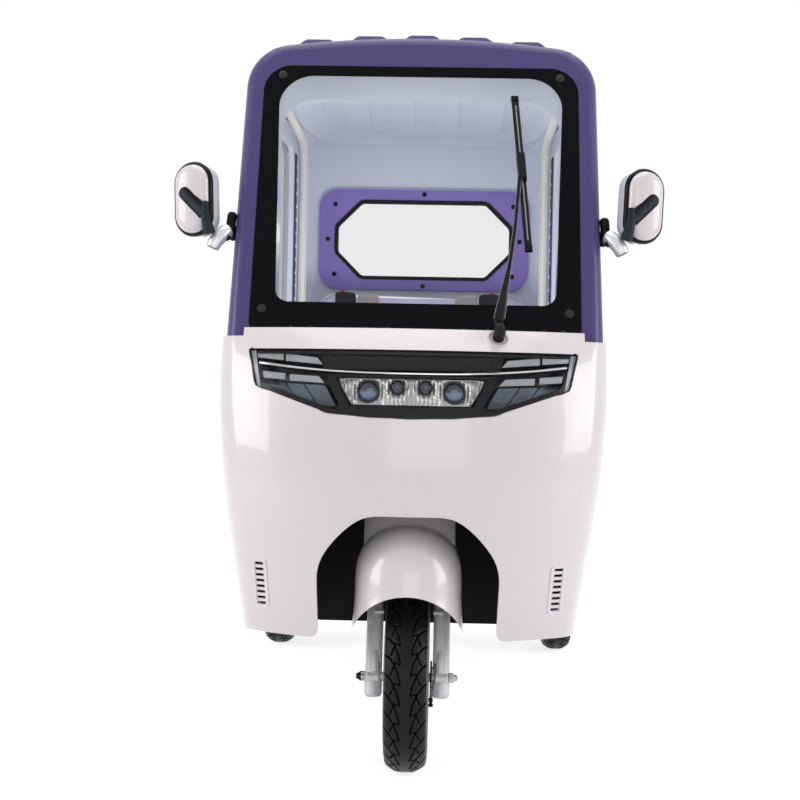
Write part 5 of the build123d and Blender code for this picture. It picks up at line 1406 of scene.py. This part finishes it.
def brake_arm():
    """The brake arm, its rod, spring and adjuster between the wheel and the left leg."""
    rings = []
    for distance, z, half in (
        (-0.004, 0.253, 0.0075),
        (-0.009, 0.24, 0.0085),
        (-0.012, 0.215, 0.0085),
        (-0.013, 0.196, 0.0065),
    ):
        section = [(0.053, -half), (0.0575, -half), (0.0575, half), (0.053, half)]
        rings.append([Vector((x, aft(distance + off), z)) for x, off in section])
    bm = loft(bmesh.new(), rings)
    rod_y = aft(-0.014)
    tube(bm, [Vector((0.0555, rod_y, z)) for z in (0.25, 0.205, 0.16)], 0.0016, 10)
    adjuster = [(0, 0.0042), (0.001, 0.0056), (0.006, 0.0056), (0.007, 0.004), (0.011, 0.004)]
    adjuster += [(0.012, 0.0052), (0.02, 0.0052), (0.021, 0.0035)]
    lathe(bm, (0.056, rod_y, 0.15), (0, 0, 1), adjuster, 12)
    coil = []
    for step in range(81):
        turn = math.tau * step / 10
        across, along = 0.0034 * math.cos(turn), 0.0034 * math.sin(turn)
        coil.append(Vector((0.056 + across, rod_y + along, 0.172 + 0.0003 * step)))
    tube(bm, coil, 0.0007, 6)
    piece("brake_arm", bm, gloss_black, "steering")
    head = bolt(bmesh.new(), (0.0575, aft(-0.01), 0.236), (1, 0, 0), 0.0048, 0.004)
    piece("brake_arm_bolt", head, zinc, "steering")


for side, end in SIDES:
    fork_leg(side, end)
axle_ends()
brake_arm()
treaded_tyre("front_tyre", "front_wheel", front_centre, 100.6, 30, 30)
for end, centre in rear_centres.items():
    treaded_tyre(f"rear_{end}_tyre", f"rear_{end}_wheel", centre, 98.6, 18, 22)


# ---------------- rear
def tail_lamp(side, end):
    """A dark bezel round a red, an amber and a white segment, each with fine ribs."""
    centre_x, centre_z = 0.425, 0.465
    low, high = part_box("tail_lamps")
    face = high[1] - 0.0004
    rings = []
    for inset, y in (
        (0.0, low[1]),
        (0.0, face - 0.0015),
        (0.0012, face),
        (0.0038, face),
        (0.005, face - 0.0035),
    ):
        outline = rounded(oblong(0.065 - inset, inset - 0.028, 0.028 - inset), 0.01 - inset, 5)
        rings.append([Vector((side * centre_x + x, y, centre_z + z)) for x, z in outline])
    piece(f"tail_bezel_{end}", loft(bmesh.new(), rings), black_plastic, replaces="tail_lamps")
    for name, start, stop, material in (
        ("stop", -0.058, 0.006, red_lens),
        ("turn", 0.01, 0.038, amber_lens),
        ("reverse", 0.042, 0.058, clear_lens),
    ):
        front = []
        for z in spread(-0.022, 0.022, 9):
            row = []
            for x in spread(start, stop, 25):
                proud = 0.0014 * (1 - (z / 0.024) ** 2) + 0.0004 * math.cos(math.tau * x / 0.008)
                row.append(Vector((side * (centre_x - x), face - 0.0022 + proud, centre_z + z)))
            front.append(row)
        piece(f"tail_{name}_{end}", slab(bmesh.new(), front, -0.004), material, replaces="tail_lamps")


def bed_fasteners():
    """Bolt heads along the bed's sides and screws in its floor."""
    low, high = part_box("cargo_bed")
    wall = surface("cargo_bed", "tailgate")
    bolts = bmesh.new()
    for side in (-1, 1):
        starts = [(side, y, z) for y in spread(low[1] + 0.06, high[1] - 0.06, 5) for z in (0.6, 0.8)]
        for hit in touched(wall, starts, Vector((-side, 0, 0))):
            bolt(bolts, hit, (side, 0, 0), 0.0055, 0.004)
    piece("bed_bolts", bolts, zinc)
    screws = bmesh.new()
    lines = (low[1] + 0.15, (low[1] + high[1]) / 2, high[1] - 0.15)
    for hit in touched(wall, [(x, y, 1.0) for x in (-0.36, 0.36) for y in lines], DOWN):
        screw(screws, hit, (0, 0, 1), 0.009, 0.0025)
    piece("bed_floor_screws", screws, zinc)


def rim_details(side, end):
    """The nuts round a rear wheel's hub and the valve in its rim."""
    centre, body = rear_centres[end], f"rear_{end}_wheel"
    face = centre + Vector((side * 0.03, 0, 0))
    nuts = bmesh.new()
    for number in range(5):
        angle = math.tau * number / 5 + 0.3
        place = face + Vector((0, 0.04 * math.sin(angle), 0.04 * math.cos(angle)))
        bolt(nuts, place, (side, 0, 0), 0.0085, 0.012)
    piece(f"{body}_nuts", nuts, zinc, body)
    profile = [(0, 0.0052), (0.01, 0.0045), (0.026, 0.0042), (0.028, 0.0052), (0.035, 0.0052), (0.037, 0.004)]
    valve = lathe(bmesh.new(), face + Vector((0, 0, 0.118)), (side * 0.9, 0, -0.45), profile, 14)
    piece(f"{body}_valve", valve, rubber, body)


for side, end in SIDES:
    tail_lamp(side, end)
bed_fasteners()
for side, end in SIDES:
    rim_details(side, end)


# ---------------- finish
boxes = {"cad": cad_bounds, "visual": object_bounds()}
boxes = {name: [[float(v) for v in corner] for corner in box] for name, box in boxes.items()}
